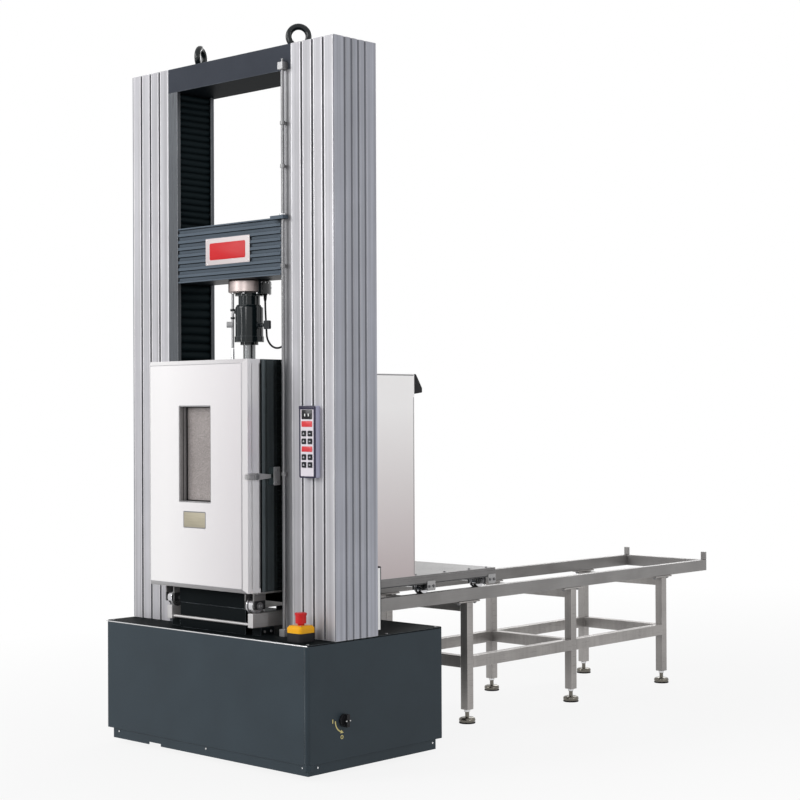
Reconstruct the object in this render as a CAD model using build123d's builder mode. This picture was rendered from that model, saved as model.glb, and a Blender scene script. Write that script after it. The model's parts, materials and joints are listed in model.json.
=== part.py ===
from build123d import *

import os
from math import pi, radians, tan

os.makedirs("parts", exist_ok=True)

# Driving dimensions in millimetres: x to the right, y to the rear, z up from the floor.
# Every y in this list is measured from the load axis, the vertical line the specimen hangs on.

# Base cabinet
BASE_FRONT = -227.0
BASE_REAR = 426.0
BASE_H = 405.0
MOUNT_GAP = 34.0  # from the floor to the underside of the plinth
MOUNT_R = 40.0
MOUNT_T = 14.0
MOUNT_STUD_R = 12.0
MOUNT_INSET = 150.0
KICK_H = 20.0
KICK_T = 6.0
KICK_SETBACK = 8.0
KICK_END = 40.0
NOTCH_INSET = 230.0
NOTCH_W = 60.0
NOTCH_H = 13.0
CORNER_FOOT = 26.0
PANEL_T = 3.0
PANEL_CORNER = 10.0
COVER_T = 5.0
FLOOR_T = 6.0
POST = 40.0
TABLE_T = 60.0
TABLE_D = 210.0

# Columns, top beam and what runs inside them
COLUMN_W = 205.0
COLUMN_D = 198.0
COLUMN_H = 1980.0
COLUMN_WALL = 10.0
RIDGES = 4
RIDGE_GROOVE_W = 8.0
RIDGE_GROOVE_T = 6.0
FLUTE_R = 7.0
FLUTE_SPAN = 32.0
FLUTES = 4
STRIP_W = 50.0
STRIP_T = 6.0
STRIP_LIP = 15.0
STRIP_REAR = 74.0
BEAM_H = 86.0
GUIDE_R = 20.0
GUIDE_INSET = 60.0
GUIDE_Y = 45.0
SCREW_R = 16.0
SCREW_INSET = 140.0
BEARING_R = 50.0
BEARING_H = 40.0
RUN_GAP = 0.1  # running fit of shafts, all round
EYE_INSET = 64.0
EYE_R = 35.0
EYE_BAR_R = 10.0
EYE_LAND_R = 26.0
EYE_COLLAR_R = 25.0
EYE_COLLAR_H = 12.0
EYE_TURN = {-1: 48.0, 1: -42.0}  # how far each eye happens to be screwed round, in degrees

# Drive inside the base
PULLEY_R = 60.0
PULLEY_W = 36.0
PULLEY_DROP = 80.0
MOTOR_PULLEY_R = 40.0
MOTOR_Y = 200.0
MOTOR_W = 130.0
MOTOR_H = 180.0
MOTOR_SHAFT_R = 11.0
SHELF_T = 10.0
SHELF_W = 240.0
BELT_T = 4.0
BELT_W = 30.0
BELT_GAP = 0.3

# Rails and the bench behind the machine
RAIL_INSET = 30.0  # from the edge of the deck to the outer face of a rail
RAIL_W = 25.0
RAIL_H = 48.0
RAIL_FRONT = -190.0
RAIL_REAR = 2556.0
RAIL_BLOCK_H = 27.0
RAIL_BLOCK_L = 60.0
RAIL_BLOCK_W = 41.0
STOP_H = 35.0
STOP_T = 10.0
TIE_R = 5.0
LEG = 35.0
LEG_FIRST = 915.0
LEG_LAST = 344.0  # from the rear end of the rails
FOOT_H = 52.0
FOOT_R = 30.0
FOOT_PAD_T = 12.0
FOOT_STUD_R = 8.0
STRETCHER_Z = 210.0
STRETCHER_H = 45.0
SPLICE_L = 120.0
SPLICE_T = 6.0
WELD = 0.2  # seam between members that are welded together

# Trolley and environmental chamber
FLANGE_W = 506.0  # of the chamber's front and the deck; the whole machine is built round this width
ROLLER_R = 25.0
ROLLER_W = 22.0
ROLLER_GAP = 0.2
ROLLER_FLANGE = 5.0
ROLLER_FLANGE_T = 4.0
AXLE_R = 6.0
AXLE_IN = (30.0, 370.0, 56.0)  # front, middle and rear axle from the nearer end of the deck
FORK_T = 5.0
FORK_L = 52.0
DECK_FRONT = -195.0
DECK_REAR = 1035.0
DECK_T = 5.0
DECK_FLANGE_H = 34.0
DECK_RISE = 22.8  # from the top of the rollers to the deck
CHAMBER_H = 777.0
CHAMBER_REAR = 190.0
CAVITY_REAR = 147.0
LINER_T = 3.0
ROD_HOLE_R = 30.0
FLANGE_LIP = 3.0
SIDE_CLEAR = 17.0  # from the flange to the strips on each side
WALL_W = 100.0
WALL_H = 98.5
FLANGE_FRONT = -173.0
FLANGE_T = 13.0
SEAL_GAP = 8.0
DOOR_T = 70.0
DOOR_BEVEL = 14.0
PLUG_GAP = 3.0
PLUG_T = 16.0
WINDOW_W = 162.0
WINDOW_H = 325.0
WINDOW_Z = 296.0  # sill height above the chamber floor
WINDOW_DEEP = 34.0
GLASS_T = 10.0
GLASS_LAP = 6.0
HINGE_R = 6.0
HINGE_PIN_R = 3.0
HINGE_L = 80.0
HINGE_RISE = 110.0
LATCH_RISE = 386.0
LATCH_L = 98.0
LATCH_H = 24.0
LATCH_T = 10.0
LATCH_TAIL = 48.0
LATCH_PIN_R = 7.0
KEEPER_H = 60.0
KEEPER_L = 26.0
UNIT_REAR = 578.0
UNIT_DROP = 40.0
UNIT_WALL = 12.0
HOOD_D = 44.0
HOOD_H = 73.0
LOUVRES = 7
LOUVRE_INSET = 103.0
LOUVRE_H = 8.0
LOUVRE_SPAN = 28.0

# Load string
STRING_GAP = 58.0  # chamber top to the upper coupling
COUPLING_R = 49.0
COUPLING_H = 181.0
COUPLING_FLANGE_R = 51.5
COUPLING_FLANGE_H = 20.0
COUPLING_NUT_R = 31.5
COUPLING_NUT_H = 10.0
COUPLING_NECK_R = 38.0
COUPLING_NECK_H = 41.0
LEDGE_H = 48.0
ROD_R = 21.5
BUTTON_R = 33.0
BUTTON_H = 24.0
BUTTON_GAP = 0.5
LOWER_FLANGE_R = 65.0
LOWER_H = 88.0
LOWER_LEDGE_T = 22.0
CELL_R = 73.0
CELL_H = 45.0
CELL_STEP = 4.0
ARM_ROD_R = 5.0
ARM_ROD_OUT = 58.0
ARM_TURN = 43.0
ARM_KNOB_R = 10.5
LOCK_RISE = 68.0
LOCK_L = 58.0
LOCK_SHAFT_R = 6.0
LOCK_WING_W = 30.0
LOCK_WING_T = 9.0
GRIP_W = 84.0
GRIP_D = 64.0
GRIP_H = 108.0
GRIP_MOUTH = 20.0
GRIP_THROAT = 60.0
UPPER_GRIP_RISE = 413.0  # underside of the upper grip above the chamber floor
LOWER_GRIP_RISE = 247.0

# Crosshead and its limit rod
HEAD_GAP = 3.0
HEAD_H = 194.0
HEAD_REAR = 55.0
HEAD_FLUTES = 8
HEAD_FLUTE_T = 6.0
ARM_CLEAR = 25.0
ARM_FRONT = -80.0
HEAD_UP = 150.0
NUT_R = 35.0
BUSH_R = 30.0
LIMIT_INSET = 24.0
LIMIT_PLAY = 1.5
LUG_PROUD = 3.0
LIMIT_R = 4.5
LIMIT_OUT = 13.0
LIMIT_BLOCK = 24.0
LUG_T = 12.0
COLLAR_R = 9.0
COLLAR_H = 12.0
TRIP_GAP = 8.0
SPARE_COLLARS = (-859.0, -163.0, 315.0)  # heights from the crosshead lug
FOLD_SPAN = 18.0
FOLD_T = 3.0
FOLD_DEEP = 10.0
FOLD_GAP = 0.3

# Controls
PENDANT_INSET = 106.5
PENDANT_Z = 970.0
PENDANT_W = 73.0
PENDANT_H = 237.0
PENDANT_T = 25.0
PANEL_MARGIN = 5.5
PENDANT_PANEL_T = 2.0
PENDANT_DEEP = 7.0
KEY_W = 20.0
KEY_H = 18.0
KEY_T = 8.0
KEY_OUT = 2.5
KEY_SPAN = 29.0
KEY_ROWS = (91.0, 116.5, 168.5, 194.0)  # down from the top of the pendant
STOP_INSET = 91.0
STOP_Y = -170.0
STOP_BOX = 70.0
STOP_BASE_H = 30.0
STOP_COVER_H = 24.0
STOP_COVER_CUT = 8.0
STOP_CORNER = 12.0
STOP_HEAD_R = 20.0
STOP_HEAD_H = 35.0
STOP_STEM_R = 11.0
STOP_STEM_H = 6.0
STOP_RIM = 2.0
STOP_RIM_H = 9.0
KNOB_Y = -66.0
KNOB_Z = 181.0
KNOB_R = 21.0
KNOB_T = 8.0
KNOB_BAR_W = 12.0
KNOB_BAR_H = 15.0
KNOB_SHAFT_R = 11.0
PLATE_T = 4.0
PLATE_D = 11.0
PLATE_H = 206.0
PLATE_RISE = 20.0

# Signal lead of the load cell: its route from the load axis, relative to the underside of the cell
LEAD_R = 3.5
LEAD_ROUTE = [
    (53.0, 27.0, 0.0),
    (53.0, 27.0, -42.0),
    (54.5, 28.0, -86.0),
    (56.0, 29.5, -127.0),
    (57.5, 31.0, -164.0),
    (86.0, 34.0, -193.0),
    (126.0, 37.0, -193.0),
    (155.0, 40.0, -164.0),
    (157.0, 41.0, -123.0),
    (158.0, 42.0, -81.0),
    (158.5, 42.5, -38.0),
    (157.5, 42.0, 5.0),
    (157.5, 42.0, 45.0),
]

# Heights and places worked out from the driving dimensions
BASE_TOP = MOUNT_GAP + BASE_H
COVER_Z = BASE_TOP - COVER_T
TABLE_Z = COVER_Z - TABLE_T
PANEL_Z = MOUNT_GAP + KICK_H
STRIP_IN = FLANGE_W / 2 + SIDE_CLEAR
COLUMN_IN = STRIP_IN + STRIP_W
HALF_BASE = COLUMN_IN + COLUMN_W
BASE_W = 2 * HALF_BASE
NOTCH_X = NOTCH_INSET - HALF_BASE
GUIDE_X = HALF_BASE - GUIDE_INSET
SCREW_X = HALF_BASE - SCREW_INSET
EYE_X = COLUMN_IN - EYE_INSET
HEAD_W = 2 * (STRIP_IN - HEAD_GAP)
HEAD_END = HALF_BASE - ARM_CLEAR
LIMIT_X = STRIP_IN + LIMIT_INSET
PENDANT_X = HALF_BASE - PENDANT_INSET
STOP_X = HALF_BASE - STOP_INSET
COLUMN_TOP = BASE_TOP + COLUMN_H
COLUMN_FRONT = -COLUMN_D / 2
BEAM_Z = COLUMN_TOP - BEAM_H
PULLEY_Z = TABLE_Z - PULLEY_DROP
SHELF_Z = PULLEY_Z - PULLEY_W / 2 - 2 * SHELF_T
RAIL_X = FLANGE_W / 2 - RAIL_INSET
RAIL_Z = BASE_TOP + RAIL_BLOCK_H
RAIL_TOP = RAIL_Z + RAIL_H
RAIL_MID = RAIL_X - RAIL_W / 2
LEG_REAR = RAIL_REAR - LEG_LAST
LEG_Y = (LEG_FIRST, (LEG_FIRST + LEG_REAR) / 2, LEG_REAR)
AXLE_Y = (DECK_FRONT + AXLE_IN[0], DECK_REAR - AXLE_IN[1], DECK_REAR - AXLE_IN[2])
AXLE_Z = RAIL_TOP + ROLLER_GAP + ROLLER_R
DECK_TOP = AXLE_Z + ROLLER_R + DECK_RISE
CHAMBER_TOP = DECK_TOP + CHAMBER_H
CHAMBER_W = FLANGE_W - 2 * FLANGE_LIP
CAVITY_W = CHAMBER_W - 2 * WALL_W
CAVITY_H = CHAMBER_H - 2 * WALL_H
CAVITY_Z = DECK_TOP + WALL_H
UNIT_H = CHAMBER_H - UNIT_DROP
LOUVRE_W = FLANGE_W - 2 * LOUVRE_INSET
DOOR_BACK = FLANGE_FRONT - SEAL_GAP
DOOR_FRONT = DOOR_BACK - DOOR_T
HINGE_X = -FLANGE_W / 2 - HINGE_R - BELT_GAP
HINGE_Y = (DOOR_BACK + FLANGE_FRONT) / 2
COUPLING_Z = CHAMBER_TOP + STRING_GAP
CELL_Z = COUPLING_Z + COUPLING_H
HEAD_Z = CELL_Z + CELL_H
HEAD_TOP = HEAD_Z + HEAD_H
LUG_Z = HEAD_TOP - LUG_T + LUG_PROUD
LIMIT_Y = COLUMN_FRONT - LIMIT_OUT
KEY_FRONT = COLUMN_FRONT - PENDANT_T

# The part's origin is under the middle of its plan, so the load axis lies this far from it
LOAD_Y = -(DOOR_FRONT + RAIL_REAR) / 2
AXIS = Plane(origin=(0, LOAD_Y, 0))
FRONT = Plane(origin=(0, LOAD_Y, 0), x_dir=(1, 0, 0), z_dir=(0, -1, 0))
SIDE = Plane(origin=(0, LOAD_Y, 0), x_dir=(0, 1, 0), z_dir=(1, 0, 0))
HANDS = ((-1, "left"), (1, "right"))
FROM_BELOW = (Align.CENTER, Align.CENTER, Align.MIN)


def block(x, y, z, mode=Mode.ADD):
    """A square block between its low and high x, y and z."""
    with Locations(((x[0] + x[1]) / 2, (y[0] + y[1]) / 2, z[0])):
        Box(x[1] - x[0], y[1] - y[0], z[1] - z[0], align=FROM_BELOW, mode=mode)


def pillar(x, y, z, radius, mode=Mode.ADD):
    """An upright cylinder between two heights."""
    with Locations((x, y, z[0])):
        Cylinder(radius, z[1] - z[0], align=FROM_BELOW, mode=mode)


def bar(x, y, z, radius, mode=Mode.ADD):
    """A round bar lying across the machine between two x."""
    with Locations(Plane(origin=(x[0], y, z), x_dir=(0, 1, 0), z_dir=(1, 0, 0))):
        Cylinder(radius, x[1] - x[0], align=FROM_BELOW, mode=mode)


def spans(side, low, high):
    """The x range of something between two distances from the middle, on one hand."""
    return tuple(sorted((side * low, side * high)))


# Base cabinet: a welded frame with its plinth, panels round it and a black cover on top
with BuildPart(AXIS) as base_frame:
    kick_x = (-HALF_BASE + KICK_END, HALF_BASE - KICK_SETBACK)
    kick_y = (BASE_FRONT + KICK_SETBACK, BASE_REAR - KICK_END)
    block(kick_x, kick_y, (MOUNT_GAP, PANEL_Z))
    inner_x = (kick_x[0] + KICK_T, kick_x[1] - KICK_T)
    inner_y = (kick_y[0] + KICK_T, kick_y[1] - KICK_T)
    block(inner_x, inner_y, (MOUNT_GAP, PANEL_Z), mode=Mode.SUBTRACT)
    notch_x = (NOTCH_X - NOTCH_W / 2, NOTCH_X + NOTCH_W / 2)
    block(notch_x, (kick_y[0], inner_y[0]), (MOUNT_GAP, MOUNT_GAP + NOTCH_H), mode=Mode.SUBTRACT)
    with BuildSketch(AXIS.offset(MOUNT_GAP)):
        with BuildLine():
            Polyline(
                (HALF_BASE - CORNER_FOOT, BASE_FRONT),
                (HALF_BASE - PANEL_CORNER, BASE_FRONT),
                (HALF_BASE, BASE_FRONT + PANEL_CORNER),
                (HALF_BASE, BASE_FRONT + CORNER_FOOT),
                (HALF_BASE - CORNER_FOOT, BASE_FRONT + CORNER_FOOT),
                close=True,
            )
        make_face()
    extrude(amount=KICK_H)
    frame_x = HALF_BASE - PANEL_T
    frame_y = (BASE_FRONT + PANEL_T, BASE_REAR - PANEL_T)
    with BuildSketch(AXIS.offset(PANEL_Z)) as floor_plate:
        with Locations((0, (BASE_FRONT + BASE_REAR) / 2)):
            Rectangle(2 * frame_x, frame_y[1] - frame_y[0])
        chamfer(floor_plate.vertices(), PANEL_CORNER)
    extrude(amount=FLOOR_T)
    for side, hand in HANDS:
        post_x = spans(side, frame_x - POST - PANEL_CORNER, frame_x - PANEL_CORNER)
        block(post_x, (frame_y[0], frame_y[0] + POST), (PANEL_Z + FLOOR_T, TABLE_Z))
        block(post_x, (frame_y[1] - POST, frame_y[1]), (PANEL_Z + FLOOR_T, TABLE_Z))
        block(post_x, frame_y, (TABLE_Z - POST, TABLE_Z))
    block((-frame_x, frame_x), (-TABLE_D / 2, TABLE_D / 2), (TABLE_Z, COVER_Z))
    shelf_x = (-SHELF_W / 2, SHELF_W / 2)
    shelf_rear = MOTOR_Y + MOTOR_W / 2 + SHELF_T
    block(shelf_x, (TABLE_D / 2 - SHELF_T, TABLE_D / 2), (SHELF_Z, TABLE_Z))
    block(shelf_x, (TABLE_D / 2 - SHELF_T, shelf_rear), (SHELF_Z, SHELF_Z + SHELF_T))
    pillar(0, MOTOR_Y, (SHELF_Z, SHELF_Z + SHELF_T), 2 * MOTOR_SHAFT_R, mode=Mode.SUBTRACT)
    for side, hand in HANDS:
        pillar(side * SCREW_X, 0, (TABLE_Z, COVER_Z), SCREW_R + FLOOR_T, mode=Mode.SUBTRACT)
base_frame.part.label = "base_frame"
export_step(base_frame.part, "parts/base_frame.step")

with BuildPart(AXIS) as base_panels:
    with BuildSketch(AXIS.offset(PANEL_Z)) as outline:
        with Locations((0, (BASE_FRONT + BASE_REAR) / 2)):
            Rectangle(BASE_W, BASE_REAR - BASE_FRONT)
        chamfer(outline.vertices(), PANEL_CORNER)
        offset(amount=-PANEL_T, mode=Mode.SUBTRACT)
    extrude(amount=COVER_Z - PANEL_Z)
    bar((HALF_BASE - PANEL_T, HALF_BASE), KNOB_Y, KNOB_Z, KNOB_SHAFT_R + BELT_GAP, mode=Mode.SUBTRACT)
    for seam in (BASE_FRONT + PANEL_CORNER, BASE_REAR - PANEL_CORNER):
        split(bisect_by=Plane(origin=(0, LOAD_Y + seam, 0), z_dir=(0, 1, 0)), keep=Keep.BOTH)
base_panels.part.label = "base_panels"
export_step(base_panels.part, "parts/base_panels.step")

with BuildPart(AXIS) as base_top_cover:
    with BuildSketch(AXIS.offset(COVER_Z)) as cover:
        with Locations((0, (BASE_FRONT + BASE_REAR) / 2)):
            Rectangle(BASE_W, BASE_REAR - BASE_FRONT)
        chamfer(cover.vertices(), PANEL_CORNER)
        Circle(LOWER_FLANGE_R + BELT_GAP, mode=Mode.SUBTRACT)
        with GridLocations(2 * SCREW_X, 1, 2, 1):
            Circle(BEARING_R + BELT_GAP, mode=Mode.SUBTRACT)
        with GridLocations(2 * GUIDE_X, 2 * GUIDE_Y, 2, 2):
            Circle(GUIDE_R + BELT_GAP, mode=Mode.SUBTRACT)
    extrude(amount=COVER_T)
base_top_cover.part.label = "base_top_cover"
export_step(base_top_cover.part, "parts/base_top_cover.step")

with BuildPart(AXIS) as levelling_mounts:
    for side, hand in HANDS:
        for mount_y in (BASE_FRONT + MOUNT_INSET, BASE_REAR - MOUNT_INSET):
            mount_x = side * (HALF_BASE - MOUNT_INSET)
            pillar(mount_x, mount_y, (0, MOUNT_T), MOUNT_R)
            pillar(mount_x, mount_y, (MOUNT_T, PANEL_Z), MOUNT_STUD_R)
levelling_mounts.part.label = "levelling_mounts"
export_step(levelling_mounts.part, "parts/levelling_mounts.step")

# Columns: ribbed aluminium extrusions, open towards each other, with dark strips beside the way
for side, hand in HANDS:
    column_x = side * (HALF_BASE + COLUMN_IN) / 2
    with BuildPart(AXIS) as column:
        with BuildSketch(AXIS.offset(BASE_TOP)):
            with Locations((column_x, 0)):
                Rectangle(COLUMN_W, COLUMN_D)
            with Locations((column_x - side * COLUMN_WALL, 0)):
                Rectangle(COLUMN_W, COLUMN_D - 2 * COLUMN_WALL, mode=Mode.SUBTRACT)
            with Locations((column_x, 0)):
                with GridLocations(COLUMN_W / RIDGES, COLUMN_D, RIDGES - 1, 2):
                    Rectangle(RIDGE_GROOVE_W, 2 * RIDGE_GROOVE_T, mode=Mode.SUBTRACT)
            with Locations((side * (HALF_BASE + FLUTE_R / 2), 0)):
                with GridLocations(1, FLUTE_SPAN, 1, FLUTES):
                    Circle(FLUTE_R, mode=Mode.SUBTRACT)
        extrude(amount=COLUMN_H)
    column.part.label = f"column_{hand}"
    export_step(column.part, f"parts/column_{hand}.step")

with BuildPart(AXIS) as column_strips:
    for side, hand in HANDS:
        strip_x = spans(side, STRIP_IN, COLUMN_IN)
        lip_x = spans(side, STRIP_IN, STRIP_IN + STRIP_T)
        strip_z = (BASE_TOP, BEAM_Z)
        block(strip_x, (COLUMN_FRONT, COLUMN_FRONT + STRIP_T), strip_z)
        block(lip_x, (COLUMN_FRONT, COLUMN_FRONT + STRIP_LIP), strip_z)
        block(strip_x, (STRIP_REAR - STRIP_T, STRIP_REAR), strip_z)
        block(lip_x, (STRIP_REAR - STRIP_LIP, STRIP_REAR), strip_z)
        shell_x = spans(side, COLUMN_IN - STRIP_T, COLUMN_IN)
        block(shell_x, (STRIP_REAR - STRIP_T, COLUMN_D / 2), strip_z)
column_strips.part.label = "column_strips"
export_step(column_strips.part, "parts/column_strips.step")

with BuildPart(AXIS) as guide_rods:
    with BuildSketch(AXIS.offset(COVER_Z)):
        with GridLocations(2 * GUIDE_X, 2 * GUIDE_Y, 2, 2):
            Circle(GUIDE_R)
    extrude(amount=BEAM_Z - COVER_Z)
guide_rods.part.label = "guide_rods"
export_step(guide_rods.part, "parts/guide_rods.step")

with BuildPart(AXIS) as top_beam:
    with BuildSketch(AXIS.offset(BEAM_Z)):
        with Locations((0, (COLUMN_FRONT + STRIP_REAR) / 2)):
            Rectangle(2 * COLUMN_IN, STRIP_REAR - COLUMN_FRONT)
        Rectangle(BASE_W - 2 * COLUMN_WALL, COLUMN_D - 2 * COLUMN_WALL)
    extrude(amount=BEAM_H)
top_beam.part.label = "top_beam"
export_step(top_beam.part, "parts/top_beam.step")

with BuildPart(AXIS) as eye_bolts:
    for side, hand in HANDS:
        pillar(side * EYE_X, 0, (COLUMN_TOP, COLUMN_TOP + EYE_COLLAR_H), EYE_COLLAR_R)
        eye_z = COLUMN_TOP + EYE_COLLAR_H + EYE_R
        turned = Plane(origin=(side * EYE_X, 0, eye_z), z_dir=Vector(1, 0, 0).rotate(Axis.Z, EYE_TURN[side]))
        with Locations(turned):
            Torus(EYE_R, EYE_BAR_R)
            Cylinder(EYE_LAND_R, 2 * EYE_BAR_R, mode=Mode.SUBTRACT)
eye_bolts.part.label = "eye_bolts"
export_step(eye_bolts.part, "parts/eye_bolts.step")

# Drive: two ball screws turned together by one motor through a toothed belt
with BuildPart(AXIS) as screw_bearings:
    for side, hand in HANDS:
        for low in (COVER_Z, BEAM_Z - BEARING_H):
            pillar(side * SCREW_X, 0, (low, low + BEARING_H), BEARING_R)
            pillar(side * SCREW_X, 0, (low, low + BEARING_H), SCREW_R + RUN_GAP, mode=Mode.SUBTRACT)
screw_bearings.part.label = "screw_bearings"
export_step(screw_bearings.part, "parts/screw_bearings.step")

pulley_low = PULLEY_Z - PULLEY_W / 2
for side, hand in HANDS:
    with BuildPart(AXIS) as ballscrew:
        pillar(side * SCREW_X, 0, (pulley_low, BEAM_Z - RUN_GAP), SCREW_R)
        pillar(side * SCREW_X, 0, (pulley_low, pulley_low + PULLEY_W), PULLEY_R)
    ballscrew.part.label = f"ballscrew_{hand}"
    export_step(ballscrew.part, f"parts/ballscrew_{hand}.step")

with BuildPart(AXIS) as servo_motor:
    block(
        (-MOTOR_W / 2, MOTOR_W / 2),
        (MOTOR_Y - MOTOR_W / 2, MOTOR_Y + MOTOR_W / 2),
        (SHELF_Z - MOTOR_H, SHELF_Z),
    )
    fillet(servo_motor.edges().filter_by(Axis.Z), MOTOR_SHAFT_R)
    pillar(0, MOTOR_Y, (SHELF_Z - SHELF_T, SHELF_Z), MOTOR_SHAFT_R + RUN_GAP, mode=Mode.SUBTRACT)
servo_motor.part.label = "servo_motor"
export_step(servo_motor.part, "parts/servo_motor.step")

with BuildPart(AXIS) as motor_pulley:
    pillar(0, MOTOR_Y, (SHELF_Z - SHELF_T + RUN_GAP, pulley_low), MOTOR_SHAFT_R)
    pillar(0, MOTOR_Y, (pulley_low, pulley_low + PULLEY_W), MOTOR_PULLEY_R)
motor_pulley.part.label = "motor_pulley"
export_step(motor_pulley.part, "parts/motor_pulley.step")

with BuildPart(AXIS) as drive_belt:
    for reach, mode in ((BELT_GAP + BELT_T, Mode.ADD), (BELT_GAP, Mode.SUBTRACT)):
        with BuildSketch(AXIS.offset(PULLEY_Z - BELT_W / 2)):
            with GridLocations(2 * SCREW_X, 1, 2, 1):
                Circle(PULLEY_R + reach)
            with Locations((0, MOTOR_Y)):
                Circle(MOTOR_PULLEY_R + reach)
            make_hull()
        extrude(amount=BELT_W, mode=mode)
drive_belt.part.label = "drive_belt"
export_step(drive_belt.part, "parts/drive_belt.step")

# Bellows: pleated covers over the slots, from the base and from the beam to the crosshead
for name, low, high in (("lower", BASE_TOP, HEAD_Z), ("upper", HEAD_TOP, BEAM_Z)):
    with BuildPart(AXIS) as bellows:
        fold_in = STRIP_IN + STRIP_T + FOLD_GAP
        folds = round((high - low) / FOLD_SPAN)
        start = low + FOLD_GAP
        step = (high - low - 2 * FOLD_GAP) / (2 * folds)
        crests = [(fold_in + FOLD_DEEP * (i % 2), start + i * step) for i in range(2 * folds + 1)]
        backs = [(x + FOLD_T, z) for x, z in reversed(crests)]
        slot_front = COLUMN_FRONT + STRIP_T + FOLD_GAP
        slot_rear = STRIP_REAR - STRIP_T - FOLD_GAP
        with BuildSketch(FRONT.offset(-slot_rear)):
            with BuildLine():
                Polyline(*crests, *backs, close=True)
            make_face()
        extrude(amount=slot_rear - slot_front)
        mirror(about=Plane.YZ)
    bellows.part.label = f"{name}_bellows"
    export_step(bellows.part, f"parts/{name}_bellows.step")

# Crosshead: a fluted beam with an arm into each column
with BuildPart(AXIS) as crosshead:
    block((-HEAD_W / 2, HEAD_W / 2), (COLUMN_FRONT, HEAD_REAR), (HEAD_Z, HEAD_TOP))
    flute_span = HEAD_H / HEAD_FLUTES
    with BuildSketch(SIDE.offset(-HEAD_W / 2)):
        for i in range(HEAD_FLUTES):
            flute_z = HEAD_Z + (i + 0.5) * flute_span
            with BuildLine():
                Polyline(
                    (COLUMN_FRONT, flute_z - flute_span * 0.3),
                    (COLUMN_FRONT + HEAD_FLUTE_T, flute_z - flute_span * 0.2),
                    (COLUMN_FRONT + HEAD_FLUTE_T, flute_z + flute_span * 0.2),
                    (COLUMN_FRONT, flute_z + flute_span * 0.3),
                    close=True,
                )
            make_face()
    extrude(amount=HEAD_W, mode=Mode.SUBTRACT)
    for side, hand in HANDS:
        block(spans(side, HEAD_W / 2, HEAD_END), (ARM_FRONT, HEAD_REAR), (HEAD_Z, HEAD_TOP))
        for guide_y in (-GUIDE_Y, GUIDE_Y):
            pillar(side * GUIDE_X, guide_y, (HEAD_Z, HEAD_TOP), BUSH_R)
            pillar(side * GUIDE_X, guide_y, (HEAD_Z, HEAD_TOP), GUIDE_R + STRIP_T, mode=Mode.SUBTRACT)
        pillar(side * SCREW_X, 0, (HEAD_Z, HEAD_TOP), NUT_R, mode=Mode.SUBTRACT)
    lug_x = (HEAD_W / 2 - LIMIT_BLOCK, LIMIT_X + LIMIT_BLOCK / 2)
    lug_y = (LIMIT_Y - LIMIT_BLOCK / 2, COLUMN_FRONT - FOLD_GAP)
    block(lug_x, lug_y, (LUG_Z, LUG_Z + LUG_T))
    block((lug_x[0], HEAD_W / 2), (lug_y[0], COLUMN_FRONT), (LUG_Z, LUG_Z + LUG_T))
    pillar(LIMIT_X, LIMIT_Y, (LUG_Z, LUG_Z + LUG_T), LIMIT_R + LIMIT_PLAY, mode=Mode.SUBTRACT)
crosshead.part.label = "crosshead"
export_step(crosshead.part, "parts/crosshead.step")

with BuildPart(AXIS) as crosshead_bearings:
    for side, hand in HANDS:
        pillar(side * SCREW_X, 0, (HEAD_Z, HEAD_TOP), NUT_R)
        pillar(side * SCREW_X, 0, (HEAD_Z, HEAD_TOP), SCREW_R + RUN_GAP, mode=Mode.SUBTRACT)
        for guide_y in (-GUIDE_Y, GUIDE_Y):
            pillar(side * GUIDE_X, guide_y, (HEAD_Z, HEAD_TOP), GUIDE_R + STRIP_T)
            pillar(side * GUIDE_X, guide_y, (HEAD_Z, HEAD_TOP), GUIDE_R + RUN_GAP, mode=Mode.SUBTRACT)
crosshead_bearings.part.label = "crosshead_bearings"
export_step(crosshead_bearings.part, "parts/crosshead_bearings.step")

# Load string above the chamber
with BuildPart(AXIS) as load_cell:
    with BuildSketch(SIDE):
        with BuildLine():
            Polyline(
                (0, CELL_Z),
                (CELL_R - 2 * CELL_STEP, CELL_Z),
                (CELL_R, CELL_Z + CELL_STEP),
                (CELL_R, HEAD_Z - CELL_STEP),
                (CELL_R - CELL_STEP, HEAD_Z),
                (0, HEAD_Z),
                close=True,
            )
        make_face()
    revolve(axis=Axis((0, LOAD_Y, 0), (0, 0, 1)))
load_cell.part.label = "load_cell"
export_step(load_cell.part, "parts/load_cell.step")

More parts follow.
